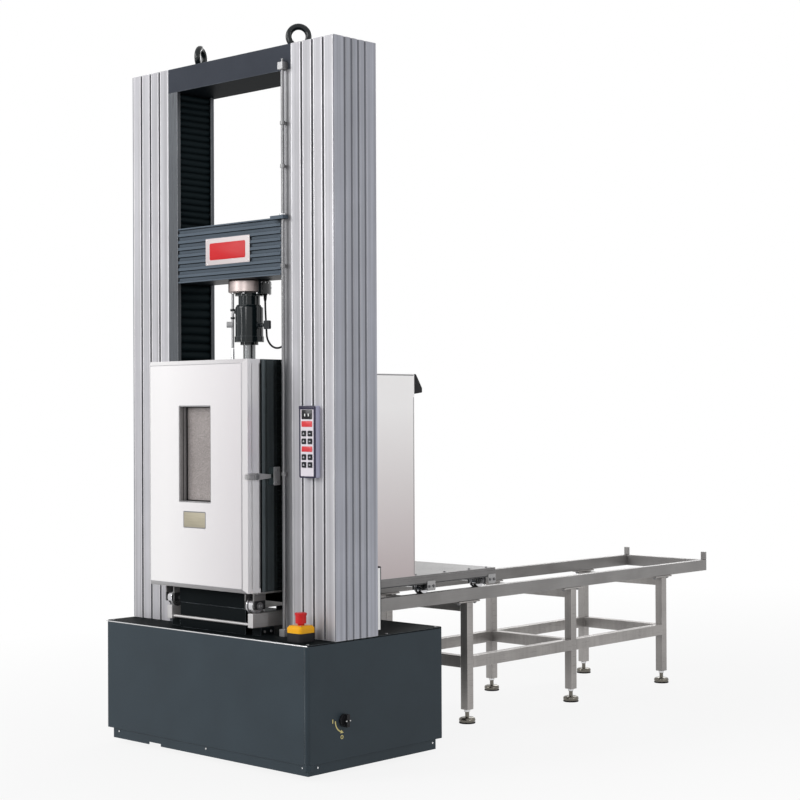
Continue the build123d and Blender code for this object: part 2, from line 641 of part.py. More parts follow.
ledge_z = COUPLING_Z + LEDGE_H
slot_top = ledge_z + BUTTON_H + 4 * BUTTON_GAP
with BuildPart(AXIS) as upper_coupling:
    neck_z = CELL_Z - COUPLING_NECK_H
    nut_top = COUPLING_Z + COUPLING_NUT_H
    with BuildSketch(SIDE):
        with BuildLine():
            Polyline(
                (0, COUPLING_Z),
                (COUPLING_NUT_R, COUPLING_Z),
                (COUPLING_NUT_R, nut_top),
                (COUPLING_FLANGE_R, nut_top),
                (COUPLING_FLANGE_R, nut_top + COUPLING_FLANGE_H),
                (COUPLING_R, nut_top + COUPLING_FLANGE_H),
                (COUPLING_R, neck_z - COUPLING_NUT_H),
                (COUPLING_R - COUPLING_NUT_H / 2, neck_z),
                (COUPLING_NECK_R, neck_z),
                (COUPLING_NECK_R, CELL_Z - COUPLING_NUT_H),
                (COUPLING_R, CELL_Z - COUPLING_NUT_H),
                (COUPLING_R, CELL_Z),
                (0, CELL_Z),
                close=True,
            )
        make_face()
    revolve(axis=Axis((0, LOAD_Y, 0), (0, 0, 1)))
    # Slot for the button of the pull rod, open to the rear
    for half, low, high in ((ROD_R, COUPLING_Z, slot_top), (BUTTON_R, ledge_z, slot_top)):
        reach = half + BUTTON_GAP
        with BuildSketch(AXIS.offset(low)):
            Circle(reach)
            with Locations((0, COUPLING_FLANGE_R)):
                Rectangle(2 * reach, 2 * COUPLING_FLANGE_R)
        extrude(amount=high - low, mode=Mode.SUBTRACT)
    # Upright rod beside the coupling, held by a short lug and with a clamping knob
    arm = Vector(-ARM_ROD_OUT, 0, 0).rotate(Axis.Z, ARM_TURN)
    with BuildSketch(AXIS.offset(neck_z - COUPLING_NUT_H * 3)):
        with Locations(Location((arm.X, arm.Y, 0), ARM_TURN)):
            Rectangle(ARM_ROD_OUT - COUPLING_NECK_R, 3 * ARM_ROD_R, align=(Align.MIN, Align.CENTER))
    extrude(amount=COUPLING_NUT_H)
    pillar(arm.X, arm.Y, (COUPLING_Z - COUPLING_NUT_H, CELL_Z), ARM_ROD_R)
    with Locations(Plane(origin=(arm.X, arm.Y, ledge_z + BUTTON_H), z_dir=arm)):
        Cylinder(ARM_KNOB_R, 2 * ARM_KNOB_R, align=FROM_BELOW)
upper_coupling.part.label = "upper_coupling"
export_step(upper_coupling.part, "parts/upper_coupling.step")

with BuildPart(AXIS) as lock_screw:
    lock_z = COUPLING_Z + LOCK_RISE
    lock_root = COUPLING_R + BELT_GAP
    bar((lock_root, lock_root + LOCK_L / 2), 0, lock_z, LOCK_SHAFT_R)
    bar((lock_root, lock_root + LOCK_SHAFT_R), 0, lock_z, 2 * LOCK_SHAFT_R)
    block(
        (lock_root + LOCK_L / 2, lock_root + LOCK_L),
        (-LOCK_WING_T / 2, LOCK_WING_T / 2),
        (lock_z - LOCK_WING_W / 2, lock_z + LOCK_WING_W / 2),
    )
    fillet(lock_screw.edges().filter_by(Axis.Y), LOCK_WING_T / 2)
lock_screw.part.label = "lock_screw"
export_step(lock_screw.part, "parts/lock_screw.step")

lead_points = [Vector(x, LOAD_Y + y, CELL_Z + z) for x, y, z in LEAD_ROUTE]
lead_runs = [b - a for a, b in zip(lead_points, lead_points[1:])]
lead_radii = []
for before, after in zip(lead_runs, lead_runs[1:]):
    half_turn = radians(before.get_angle(after)) / 2
    lead_radii.append(0.45 * min(before.length, after.length) / tan(half_turn))
print("signal lead bend radii", [round(r, 1) for r in lead_radii])
with BuildPart() as signal_lead:
    with BuildLine() as lead_path:
        FilletPolyline(*lead_points, radius=lead_radii)
    with BuildSketch(Plane(origin=lead_path.line @ 0, z_dir=lead_path.line % 0)):
        Circle(LEAD_R)
    sweep()
lead_length = lead_path.wires()[0].length
lead_section = pi * LEAD_R**2
print("signal lead length", round(lead_length, 1), "mm")
print("its volume over section times length", round(signal_lead.part.volume / (lead_section * lead_length), 4))
signal_lead.part.label = "signal_lead"
export_step(signal_lead.part, "parts/signal_lead.step")

# Pull rods with their button ends, and the grips they carry inside the chamber
upper_grip_z = DECK_TOP + UPPER_GRIP_RISE
lower_grip_z = DECK_TOP + LOWER_GRIP_RISE
lower_ledge_z = COVER_Z + LOWER_H - LOWER_LEDGE_T
with BuildPart(AXIS) as upper_pull_rod:
    button_z = ledge_z + BUTTON_GAP
    pillar(0, 0, (upper_grip_z + GRIP_H, button_z), ROD_R)
    pillar(0, 0, (button_z, button_z + BUTTON_H), BUTTON_R)
upper_pull_rod.part.label = "upper_pull_rod"
export_step(upper_pull_rod.part, "parts/upper_pull_rod.step")

with BuildPart(AXIS) as lower_pull_rod:
    button_z = lower_ledge_z - BUTTON_GAP - BUTTON_H
    pillar(0, 0, (button_z + BUTTON_H, lower_grip_z), ROD_R)
    pillar(0, 0, (button_z, button_z + BUTTON_H), BUTTON_R)
lower_pull_rod.part.label = "lower_pull_rod"
export_step(lower_pull_rod.part, "parts/lower_pull_rod.step")

for name, shank_z, way in (("upper", upper_grip_z + GRIP_H, -1), ("lower", lower_grip_z, 1)):
    mouth_z = shank_z + way * GRIP_H
    with BuildPart(AXIS) as grip:
        with BuildSketch(FRONT):
            with BuildLine():
                Polyline(
                    (-ROD_R, shank_z),
                    (ROD_R, shank_z),
                    (GRIP_W / 2, shank_z + way * ROD_R),
                    (GRIP_W / 2, mouth_z - way * GRIP_MOUTH),
                    (GRIP_W / 2 - GRIP_MOUTH / 2, mouth_z),
                    (GRIP_MOUTH / 2, mouth_z),
                    (GRIP_MOUTH / 2, mouth_z - way * GRIP_THROAT),
                    (-GRIP_MOUTH / 2, mouth_z - way * GRIP_THROAT),
                    (-GRIP_MOUTH / 2, mouth_z),
                    (GRIP_MOUTH / 2 - GRIP_W / 2, mouth_z),
                    (-GRIP_W / 2, mouth_z - way * GRIP_MOUTH),
                    (-GRIP_W / 2, shank_z + way * ROD_R),
                    close=True,
                )
            make_face()
        extrude(amount=GRIP_D / 2, both=True)
    grip.part.label = f"{name}_grip"
    export_step(grip.part, f"parts/{name}_grip.step")

with BuildPart(AXIS) as lower_coupling:
    lower_top = COVER_Z + LOWER_H
    pillar(0, 0, (COVER_Z, COVER_Z + COUPLING_FLANGE_H), LOWER_FLANGE_R)
    pillar(0, 0, (COVER_Z, lower_top), COUPLING_R)
    slot_low = lower_ledge_z - BUTTON_H - 4 * BUTTON_GAP
    for half, low, high in ((ROD_R, slot_low, lower_top), (BUTTON_R, slot_low, lower_ledge_z)):
        reach = half + BUTTON_GAP
        with BuildSketch(AXIS.offset(low)):
            Circle(reach)
            with Locations((0, LOWER_FLANGE_R)):
                Rectangle(2 * reach, 2 * LOWER_FLANGE_R)
        extrude(amount=high - low, mode=Mode.SUBTRACT)
lower_coupling.part.label = "lower_coupling"
export_step(lower_coupling.part, "parts/lower_coupling.step")

# Limit rod in front of the right column, with its collars and the brackets that guide it
limit_top = BEAM_Z + LIMIT_BLOCK
limit_low = BASE_TOP + LIMIT_BLOCK / 4
with BuildPart(AXIS) as limit_rod:
    pillar(LIMIT_X, LIMIT_Y, (limit_low + COLLAR_H / 2, limit_top + COLLAR_H), LIMIT_R)
    upper_collar = LUG_Z + LUG_T + HEAD_UP + TRIP_GAP
    for collar_z in [upper_collar] + [LUG_Z + rise for rise in SPARE_COLLARS]:
        pillar(LIMIT_X, LIMIT_Y, (collar_z, collar_z + COLLAR_H), COLLAR_R)
limit_rod.part.label = "limit_rod"
export_step(limit_rod.part, "parts/limit_rod.step")

with BuildPart(AXIS) as column_brackets:
    guide_x = (LIMIT_X - LIMIT_BLOCK / 2, LIMIT_X + LIMIT_BLOCK / 2)
    guide_y = (LIMIT_Y - LIMIT_BLOCK / 2, COLUMN_FRONT)
    block(guide_x, guide_y, (BEAM_Z, BEAM_Z + LIMIT_BLOCK))
    block(guide_x, (guide_y[0], LIMIT_Y + LIMIT_BLOCK / 2), (BASE_TOP, BASE_TOP + LIMIT_BLOCK))
    for low in (BEAM_Z, limit_low):
        pillar(LIMIT_X, LIMIT_Y, (low, low + LIMIT_BLOCK), LIMIT_R + BELT_GAP, mode=Mode.SUBTRACT)
    for side, hand in HANDS:
        plate_x = spans(side, HALF_BASE - COLUMN_W / 2, HALF_BASE)
        plate_z = (BASE_TOP + PLATE_RISE, BASE_TOP + PLATE_RISE + PLATE_H)
        block(plate_x, (COLUMN_D / 2, COLUMN_D / 2 + PLATE_T), plate_z)
        block(spans(side, HALF_BASE - PLATE_T, HALF_BASE), (COLUMN_D / 2, COLUMN_D / 2 + PLATE_D), plate_z)
column_brackets.part.label = "column_brackets"
export_step(column_brackets.part, "parts/column_brackets.step")

# Rails on the base and the bench that carries them on to the rear
with BuildPart(AXIS) as rails:
    for side, hand in HANDS:
        rail_x = spans(side, RAIL_X - RAIL_W, RAIL_X)
        block(rail_x, (RAIL_FRONT, RAIL_REAR), (RAIL_Z, RAIL_TOP))
        block(rail_x, (RAIL_REAR - STOP_T, RAIL_REAR), (RAIL_TOP + WELD, RAIL_TOP + STOP_H))
    inner = RAIL_X - RAIL_W - WELD
    bar((-inner, inner), RAIL_FRONT + 2 * TIE_R, RAIL_Z + 2 * TIE_R, TIE_R)
    block((-inner, inner), (RAIL_REAR - RAIL_W, RAIL_REAR), (RAIL_Z, RAIL_TOP))
rails.part.label = "rails"
export_step(rails.part, "parts/rails.step")

with BuildPart(AXIS) as rail_blocks:
    block_front = RAIL_FRONT + RAIL_BLOCK_L / 2
    block_rear = BASE_REAR - 1.5 * RAIL_BLOCK_L
    for side, hand in HANDS:
        block_x = spans(side, RAIL_MID - RAIL_BLOCK_W / 2, RAIL_MID + RAIL_BLOCK_W / 2)
        for low in (block_front, block_rear):
            block(block_x, (low, low + RAIL_BLOCK_L), (BASE_TOP, RAIL_Z))
rail_blocks.part.label = "rail_blocks"
export_step(rail_blocks.part, "parts/rail_blocks.step")

with BuildPart(AXIS) as bench_frame:
    leg_in = RAIL_MID - LEG / 2
    leg_out = RAIL_MID + LEG / 2
    cross_x = (WELD - leg_in, leg_in - WELD)
    leg_top = RAIL_Z - SPLICE_T - WELD
    stretcher_z = (STRETCHER_Z, STRETCHER_Z + STRETCHER_H)
    for leg_y in LEG_Y:
        leg_span = (leg_y - LEG / 2, leg_y + LEG / 2)
        splice = (leg_y - SPLICE_L / 2, leg_y + SPLICE_L / 2)
        block(cross_x, leg_span, (leg_top - LEG, leg_top))
        block(cross_x, leg_span, stretcher_z)
        for side, hand in HANDS:
            block(spans(side, leg_in, leg_out), leg_span, (FOOT_H, leg_top))
            block(spans(side, leg_in, leg_out), splice, (RAIL_Z - SPLICE_T, RAIL_Z))
    for before, after in zip(LEG_Y, LEG_Y[1:]):
        bay = (before + LEG / 2 + WELD, after - LEG / 2 - WELD)
        for side, hand in HANDS:
            block(spans(side, leg_in, leg_out), bay, stretcher_z)
bench_frame.part.label = "bench_frame"
export_step(bench_frame.part, "parts/bench_frame.step")

with BuildPart(AXIS) as bench_feet:
    for leg_y in LEG_Y:
        for side, hand in HANDS:
            foot_x = side * RAIL_MID
            pillar(foot_x, leg_y, (0, FOOT_PAD_T), FOOT_R)
            with Locations((foot_x, leg_y, FOOT_PAD_T)):
                Cone(FOOT_R - FOOT_PAD_T / 2, FOOT_PAD_T, FOOT_PAD_T, align=FROM_BELOW)
            pillar(foot_x, leg_y, (2 * FOOT_PAD_T, FOOT_H), FOOT_STUD_R)
bench_feet.part.label = "bench_feet"
export_step(bench_feet.part, "parts/bench_feet.step")

# Trolley: a folded deck on forks with flanged rollers
fork_in = RAIL_X - RAIL_W - 2 * FORK_T - ROLLER_FLANGE_T
fork_out = RAIL_X + FORK_T / 2
with BuildPart(AXIS) as trolley_deck:
    half_deck = FLANGE_W / 2
    block((-half_deck, half_deck), (DECK_FRONT, DECK_REAR), (DECK_TOP - DECK_T, DECK_TOP))
    for side, hand in HANDS:
        edge_x = spans(side, half_deck - DECK_T, half_deck)
        block(edge_x, (CHAMBER_REAR, DECK_REAR), (DECK_TOP - DECK_FLANGE_H, DECK_TOP - DECK_T - WELD))
        for axle_y in AXLE_Y:
            fork_y = (axle_y - FORK_L / 2, axle_y + FORK_L / 2)
            fork_z = (AXLE_Z - ROLLER_R / 2, DECK_TOP - DECK_T - WELD)
            block(spans(side, fork_in, fork_in + FORK_T), fork_y, fork_z)
            block(spans(side, fork_out, fork_out + FORK_T), fork_y, fork_z)
    for axle_y in AXLE_Y:
        axle_reach = fork_out + FORK_T
        bar((-axle_reach, axle_reach), axle_y, AXLE_Z, AXLE_R + RUN_GAP, mode=Mode.SUBTRACT)
    pillar(0, 0, (DECK_TOP - DECK_T, DECK_TOP), ROD_HOLE_R, mode=Mode.SUBTRACT)
trolley_deck.part.label = "trolley_deck"
export_step(trolley_deck.part, "parts/trolley_deck.step")

for name, axle_y in zip(("front", "middle", "rear"), AXLE_Y):
    with BuildPart(AXIS) as rollers:
        axle_end = fork_out + FORK_T
        for side, hand in HANDS:
            tread = spans(side, RAIL_MID - ROLLER_W / 2, RAIL_MID + ROLLER_W / 2)
            flange_out = RAIL_X - RAIL_W - FOLD_GAP
            guide_disc = spans(side, flange_out - ROLLER_FLANGE_T, flange_out)
            for ring, ring_r in ((tread, ROLLER_R), (guide_disc, ROLLER_R + ROLLER_FLANGE)):
                bar(ring, axle_y, AXLE_Z, ring_r)
                bar(ring, axle_y, AXLE_Z, AXLE_R + RUN_GAP, mode=Mode.SUBTRACT)
        bar((-axle_end, axle_end), axle_y, AXLE_Z, AXLE_R)
    rollers.part.label = f"rollers_{name}"
    export_step(rollers.part, f"parts/rollers_{name}.step")

# Environmental chamber: insulated shell, sheet liner, hinged door with a window and a latch
with BuildPart(AXIS) as chamber_shell:
    half_cut = CAVITY_W / 2 + LINER_T
    cut_z = (CAVITY_Z - LINER_T, CAVITY_Z + CAVITY_H + LINER_T)
    body_front = FLANGE_FRONT + FLANGE_T
    block((-CHAMBER_W / 2, CHAMBER_W / 2), (body_front, CHAMBER_REAR), (DECK_TOP, CHAMBER_TOP))
    block((-FLANGE_W / 2, FLANGE_W / 2), (FLANGE_FRONT, body_front), (DECK_TOP, CHAMBER_TOP))
    block((-half_cut, half_cut), (FLANGE_FRONT, CAVITY_REAR + LINER_T), cut_z, mode=Mode.SUBTRACT)
    pillar(0, 0, (DECK_TOP, CHAMBER_TOP), ROD_HOLE_R, mode=Mode.SUBTRACT)
    # Keeper of the latch and the fixed knuckles of the hinge
    keeper_y = HINGE_Y + LATCH_TAIL
    latch_z = DECK_TOP + LATCH_RISE
    keeper_x = (CHAMBER_W / 2 + WELD, FLANGE_W / 2 + LATCH_T + FOLD_GAP)
    block(keeper_x, (keeper_y, keeper_y + KEEPER_L), (latch_z - KEEPER_H / 2, latch_z + KEEPER_H / 2))
    for hinge_z in (DECK_TOP + HINGE_RISE, CHAMBER_TOP - HINGE_RISE - HINGE_L):
        knuckle = (hinge_z, hinge_z + HINGE_L / 2 - FOLD_GAP)
        leaf_x = (HINGE_X, -FLANGE_W / 2 - WELD)
        block(leaf_x, (HINGE_Y, body_front + HINGE_L / 2), knuckle)
        pillar(HINGE_X, HINGE_Y, knuckle, HINGE_R)
        pillar(HINGE_X, HINGE_Y, (hinge_z, hinge_z + HINGE_L), HINGE_PIN_R)
chamber_shell.part.label = "chamber_shell"
export_step(chamber_shell.part, "parts/chamber_shell.step")

with BuildPart(AXIS) as chamber_liner:
    block((-half_cut, half_cut), (FLANGE_FRONT, CAVITY_REAR + LINER_T), cut_z)
    cavity_x = (-CAVITY_W / 2, CAVITY_W / 2)
    cavity_z = (CAVITY_Z, CAVITY_Z + CAVITY_H)
    block(cavity_x, (FLANGE_FRONT, CAVITY_REAR), cavity_z, mode=Mode.SUBTRACT)
    pillar(0, 0, cut_z, ROD_HOLE_R, mode=Mode.SUBTRACT)
chamber_liner.part.label = "chamber_liner"
export_step(chamber_liner.part, "parts/chamber_liner.step")

window_z = DECK_TOP + WINDOW_Z + WINDOW_H / 2
glass_y = DOOR_FRONT + WINDOW_DEEP
with BuildPart(AXIS) as chamber_door:
    with BuildSketch(FRONT.offset(-DOOR_BACK)):
        with Locations((0, (DECK_TOP + CHAMBER_TOP) / 2)):
            Rectangle(FLANGE_W, CHAMBER_H)
    extrude(amount=DOOR_T)
    chamfer(chamber_door.faces().sort_by(Axis.Y)[0].edges(), DOOR_BEVEL)
    plug_z = (CAVITY_Z + PLUG_GAP, CAVITY_Z + CAVITY_H - PLUG_GAP)
    plug_x = (PLUG_GAP - CAVITY_W / 2, CAVITY_W / 2 - PLUG_GAP)
    block(plug_x, (DOOR_BACK, DOOR_BACK + PLUG_T), plug_z)
    with BuildSketch(FRONT.offset(-DOOR_FRONT)):
        with Locations((0, window_z)):
            Rectangle(WINDOW_W, WINDOW_H)
    extrude(amount=-DOOR_T - PLUG_T, mode=Mode.SUBTRACT)
    with BuildSketch(FRONT.offset(-glass_y)):
        with Locations((0, window_z)):
            Rectangle(WINDOW_W + 2 * GLASS_LAP, WINDOW_H + 2 * GLASS_LAP)
    extrude(amount=-DOOR_T - PLUG_T, mode=Mode.SUBTRACT)
    # Moving knuckles of the hinge, and the boss the latch turns on
    for hinge_z in (DECK_TOP + HINGE_RISE, CHAMBER_TOP - HINGE_RISE - HINGE_L):
        knuckle = (hinge_z + HINGE_L / 2, hinge_z + HINGE_L)
        pillar(HINGE_X, HINGE_Y, knuckle, HINGE_R)
        block((HINGE_X, -FLANGE_W / 2), (DOOR_BACK - HINGE_L / 2, HINGE_Y), knuckle)
        pillar(HINGE_X, HINGE_Y, knuckle, HINGE_PIN_R + RUN_GAP, mode=Mode.SUBTRACT)
    latch_y = DOOR_BACK - LATCH_H
    bar((FLANGE_W / 2, FLANGE_W / 2 + LATCH_T), latch_y, latch_z, LATCH_PIN_R)
chamber_door.part.label = "chamber_door"
export_step(chamber_door.part, "parts/chamber_door.step")

with BuildPart(AXIS) as door_window:
    with BuildSketch(FRONT.offset(-glass_y - FOLD_GAP)):
        with Locations((0, window_z)):
            Rectangle(WINDOW_W + 2 * GLASS_LAP - 2 * FOLD_GAP, WINDOW_H + 2 * GLASS_LAP - 2 * FOLD_GAP)
    extrude(amount=-GLASS_T)
door_window.part.label = "door_window"
export_step(door_window.part, "parts/door_window.step")

with BuildPart(AXIS) as door_latch:
    latch_front = DOOR_FRONT + FOLD_GAP
    latch_rear = keeper_y - FOLD_GAP
    with BuildSketch(SIDE.offset(FLANGE_W / 2 + FOLD_GAP)) as lever:
        with BuildLine():
            Polyline(
                (latch_front, latch_z - LATCH_H / 3),
                (latch_y, latch_z - LATCH_H / 2),
                (latch_rear - LATCH_H / 2, latch_z - LATCH_H / 4),
                (latch_rear - LATCH_H / 2, latch_z + LATCH_H / 4),
                (latch_y, latch_z + LATCH_H / 2),
                (latch_front, latch_z + LATCH_H / 3),
                close=True,
            )
        make_face()
        with Locations((latch_y, latch_z)):
            Circle(LATCH_PIN_R + RUN_GAP, mode=Mode.SUBTRACT)
    extrude(amount=LATCH_T - FOLD_GAP)
door_latch.part.label = "door_latch"
export_step(door_latch.part, "parts/door_latch.step")

# Conditioning unit behind the chamber, with a black hood along its upper rear edge
with BuildPart(AXIS) as rear_unit:
    unit_top = DECK_TOP + UNIT_H
    block((-FLANGE_W / 2, FLANGE_W / 2), (CHAMBER_REAR, UNIT_REAR), (DECK_TOP, unit_top))
    room_x = FLANGE_W / 2 - UNIT_WALL
    room_y = (CHAMBER_REAR + UNIT_WALL, UNIT_REAR - UNIT_WALL)
    room_z = (DECK_TOP + UNIT_WALL, unit_top - UNIT_WALL)
    block((-room_x, room_x), room_y, room_z, mode=Mode.SUBTRACT)
    with BuildSketch(FRONT.offset(-UNIT_REAR)):
        with Locations((0, DECK_TOP + UNIT_H / 3)):
            with GridLocations(1, LOUVRE_SPAN, 1, LOUVRES):
                SlotOverall(LOUVRE_W, LOUVRE_H)
    extrude(amount=LOUVRE_H, mode=Mode.SUBTRACT)
rear_unit.part.label = "rear_unit"
export_step(rear_unit.part, "parts/rear_unit.step")

with BuildPart(AXIS) as rear_hood:
    with BuildSketch(SIDE.offset(-FLANGE_W / 2)) as hood:
        with BuildLine():
            Polyline(
                (UNIT_REAR, unit_top - HOOD_H),
                (UNIT_REAR + HOOD_D, unit_top - HOOD_H + HOOD_D / 8),
                (UNIT_REAR + HOOD_D, unit_top - HOOD_H + HOOD_D / 2),
                (UNIT_REAR + HOOD_D / 4, unit_top),
                (UNIT_REAR, unit_top),
                close=True,
            )
        make_face()
        fillet(hood.vertices().group_by(Axis.Y)[-1], HOOD_D / 8)
    extrude(amount=FLANGE_W)
rear_hood.part.label = "rear_hood"
export_step(rear_hood.part, "parts/rear_hood.step")

# Hand pendant on the front of the right column
pendant_top = PENDANT_Z + PENDANT_H
pendant_mid = PENDANT_Z + PENDANT_H / 2
panel_w = PENDANT_W - 2 * PANEL_MARGIN
panel_h = PENDANT_H - 2 * PANEL_MARGIN
key_places = [
    (PENDANT_X + hand * KEY_SPAN / 2, pendant_top - drop) for drop in KEY_ROWS for hand in (-1, 1)
]
with BuildPart(AXIS) as pendant_case:
    with BuildSketch(FRONT.offset(-COLUMN_FRONT)):
        with Locations((PENDANT_X, pendant_mid)):
            RectangleRounded(PENDANT_W, PENDANT_H, PANEL_MARGIN)
    extrude(amount=PENDANT_T)
    with BuildSketch(FRONT.offset(-KEY_FRONT)):
        with Locations((PENDANT_X, pendant_mid)):
            Rectangle(panel_w, panel_h)
    extrude(amount=-PENDANT_PANEL_T, mode=Mode.SUBTRACT)
    with BuildSketch(FRONT.offset(-KEY_FRONT)):
        with Locations((PENDANT_X, pendant_mid)):
            Rectangle(panel_w - PANEL_MARGIN, panel_h - PANEL_MARGIN)
    extrude(amount=-PENDANT_PANEL_T - PENDANT_DEEP, mode=Mode.SUBTRACT)
pendant_case.part.label = "pendant_case"
export_step(pendant_case.part, "parts/pendant_case.step")

with BuildPart(AXIS) as pendant_panel:
    with BuildSketch(FRONT.offset(-KEY_FRONT)):
        with Locations((PENDANT_X, pendant_mid)):
            Rectangle(panel_w, panel_h)
        with Locations(*key_places):
            Rectangle(KEY_W + 2 * FOLD_GAP, KEY_H + 2 * FOLD_GAP, mode=Mode.SUBTRACT)
    extrude(amount=-PENDANT_PANEL_T)
pendant_panel.part.label = "pendant_panel"
export_step(pendant_panel.part, "parts/pendant_panel.step")

for number, place in enumerate(key_places, start=1):
    with BuildPart(AXIS) as key:
        with BuildSketch(FRONT.offset(KEY_OUT - KEY_FRONT)):
            with Locations(place):
                RectangleRounded(KEY_W, KEY_H, FOLD_T)
        extrude(amount=-KEY_T)
    key.part.label = f"pendant_key_{number}"
    export_step(key.part, f"parts/pendant_key_{number}.step")

# Emergency stop in front of the right column
stop_z = BASE_TOP + STOP_BASE_H
stop_top = stop_z + STOP_COVER_H
with BuildPart(AXIS) as estop_base:
    with BuildSketch(AXIS.offset(BASE_TOP)):
        with Locations((STOP_X, STOP_Y)):
            RectangleRounded(STOP_BOX, STOP_BOX, STOP_CORNER)
    extrude(amount=STOP_BASE_H)
estop_base.part.label = "estop_base"
export_step(estop_base.part, "parts/estop_base.step")

with BuildPart(AXIS) as estop_cover:
    with BuildSketch(AXIS.offset(stop_z)):
        with Locations((STOP_X, STOP_Y)):
            RectangleRounded(STOP_BOX, STOP_BOX, STOP_CORNER)
    extrude(amount=STOP_COVER_H)
    chamfer(estop_cover.faces().sort_by(Axis.Z)[-1].edges(), STOP_COVER_CUT)
    stem_room = STOP_STEM_R + FOLD_GAP
    pillar(STOP_X, STOP_Y, (stop_z, stop_top), stem_room, mode=Mode.SUBTRACT)
estop_cover.part.label = "estop_cover"
export_step(estop_cover.part, "parts/estop_cover.step")

with BuildPart(AXIS) as estop_button:
    head_z = stop_top + STOP_STEM_H
    head_top = head_z + STOP_HEAD_H
    pillar(STOP_X, STOP_Y, (stop_top - STOP_STEM_H, head_z), STOP_STEM_R)
    pillar(STOP_X, STOP_Y, (head_z, head_top), STOP_HEAD_R - STOP_RIM)
    pillar(STOP_X, STOP_Y, (head_top - STOP_RIM_H, head_top), STOP_HEAD_R)
    chamfer(estop_button.edges().sort_by(Axis.Z)[-1], STOP_RIM)
estop_button.part.label = "estop_button"
export_step(estop_button.part, "parts/estop_button.step")

# Rotary mains switch on the right side of the base
with BuildPart(AXIS) as switch_knob:
    knob_face = HALF_BASE + FOLD_GAP
    bar((HALF_BASE - 2 * KNOB_T, knob_face + KNOB_T), KNOB_Y, KNOB_Z, KNOB_SHAFT_R)
    bar((knob_face, knob_face + KNOB_T), KNOB_Y, KNOB_Z, KNOB_R)
    block(
        (knob_face + KNOB_T, knob_face + KNOB_T + KNOB_BAR_H),
        (KNOB_Y - KNOB_BAR_W / 2, KNOB_Y + KNOB_BAR_W / 2),
        (KNOB_Z - KNOB_R, KNOB_Z + KNOB_R),
    )
switch_knob.part.label = "switch_knob"
export_step(switch_knob.part, "parts/switch_knob.step")
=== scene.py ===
import json
import math

import bmesh
import bpy
from mathutils import Matrix, Vector


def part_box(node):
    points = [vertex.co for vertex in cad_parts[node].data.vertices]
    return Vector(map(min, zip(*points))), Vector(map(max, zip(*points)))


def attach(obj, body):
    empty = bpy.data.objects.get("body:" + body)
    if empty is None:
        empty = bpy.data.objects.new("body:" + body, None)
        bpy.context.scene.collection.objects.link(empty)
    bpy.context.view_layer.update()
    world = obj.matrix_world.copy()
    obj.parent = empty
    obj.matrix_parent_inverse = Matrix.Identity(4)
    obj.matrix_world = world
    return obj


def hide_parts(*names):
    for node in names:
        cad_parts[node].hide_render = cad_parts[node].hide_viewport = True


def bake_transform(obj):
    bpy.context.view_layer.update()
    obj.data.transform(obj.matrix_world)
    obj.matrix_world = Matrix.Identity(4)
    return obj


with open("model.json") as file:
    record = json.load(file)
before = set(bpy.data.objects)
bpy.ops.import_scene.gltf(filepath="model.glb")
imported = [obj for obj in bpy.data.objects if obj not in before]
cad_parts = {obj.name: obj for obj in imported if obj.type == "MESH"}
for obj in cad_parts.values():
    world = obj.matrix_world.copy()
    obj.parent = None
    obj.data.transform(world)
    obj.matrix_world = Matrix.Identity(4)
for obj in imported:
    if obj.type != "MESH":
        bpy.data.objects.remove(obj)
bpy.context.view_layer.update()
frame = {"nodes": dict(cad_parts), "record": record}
NODES = frame["nodes"]
SCENE = bpy.context.scene
SLOT_OF = {part["node"]: part["material_slot"] for part in frame["record"]["subparts"]}

MM = 0.001
CELL_LOW, CELL_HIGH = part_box("load_cell")
LOAD_Y = (CELL_LOW.y + CELL_HIGH.y) / 2

# Levels and faces that several details share, in millimetres, with every y taken from the load axis.
COVER_TOP = 439
BASE_FRONT, BASE_REAR = -227, 426
COLUMN_FRONT, COLUMN_REAR = -99, 99
DECK_TOP = 587
ROOF_Z = 1364
CELL_Z = 1603
HANDS = (-1, 1)
SIDES = (("right", 1), ("left", -1))

# Which way local x, y and z point for a detail that is laid on a face.
FACES = {
    "front": ((1, 0, 0), (0, 0, 1), (0, -1, 0)),
    "rear": ((-1, 0, 0), (0, 0, 1), (0, 1, 0)),
    "right": ((0, 1, 0), (0, 0, 1), (1, 0, 0)),
    "left": ((0, -1, 0), (0, 0, 1), (-1, 0, 0)),
    "up": ((1, 0, 0), (0, 1, 0), (0, 0, 1)),
    "down": ((1, 0, 0), (0, -1, 0), (0, 0, -1)),
}


def at(x, y, z):
    """A point in metres in the shared frame, from millimetres with y taken from the load axis."""
    return Vector((x * MM, LOAD_Y + y * MM, z * MM))


def on(face, x, y, z):
    """The placing of a detail that is modelled in millimetres with its back on z = 0."""
    turn = Matrix([Vector(axis) for axis in FACES[face]]).transposed().to_4x4()
    return Matrix.Translation(at(x, y, z)) @ turn @ Matrix.Scale(MM, 4)


def srgb(red, green, blue):
    """A screen colour as the linear colour that a shader takes."""
    values = []
    for part in (red, green, blue):
        part /= 255
        values.append(part / 12.92 if part <= 0.04045 else ((part + 0.055) / 1.055) ** 2.4)
    return tuple(values)


# Camera at the photograph's point of view.
CAMERA_AT = (4.4594, -5.1585, 1.1869)
YAW, PITCH, ROLL = math.radians(43.02), math.radians(0.39), math.radians(-0.24)
LENS, SENSOR = 76.65, 36.0

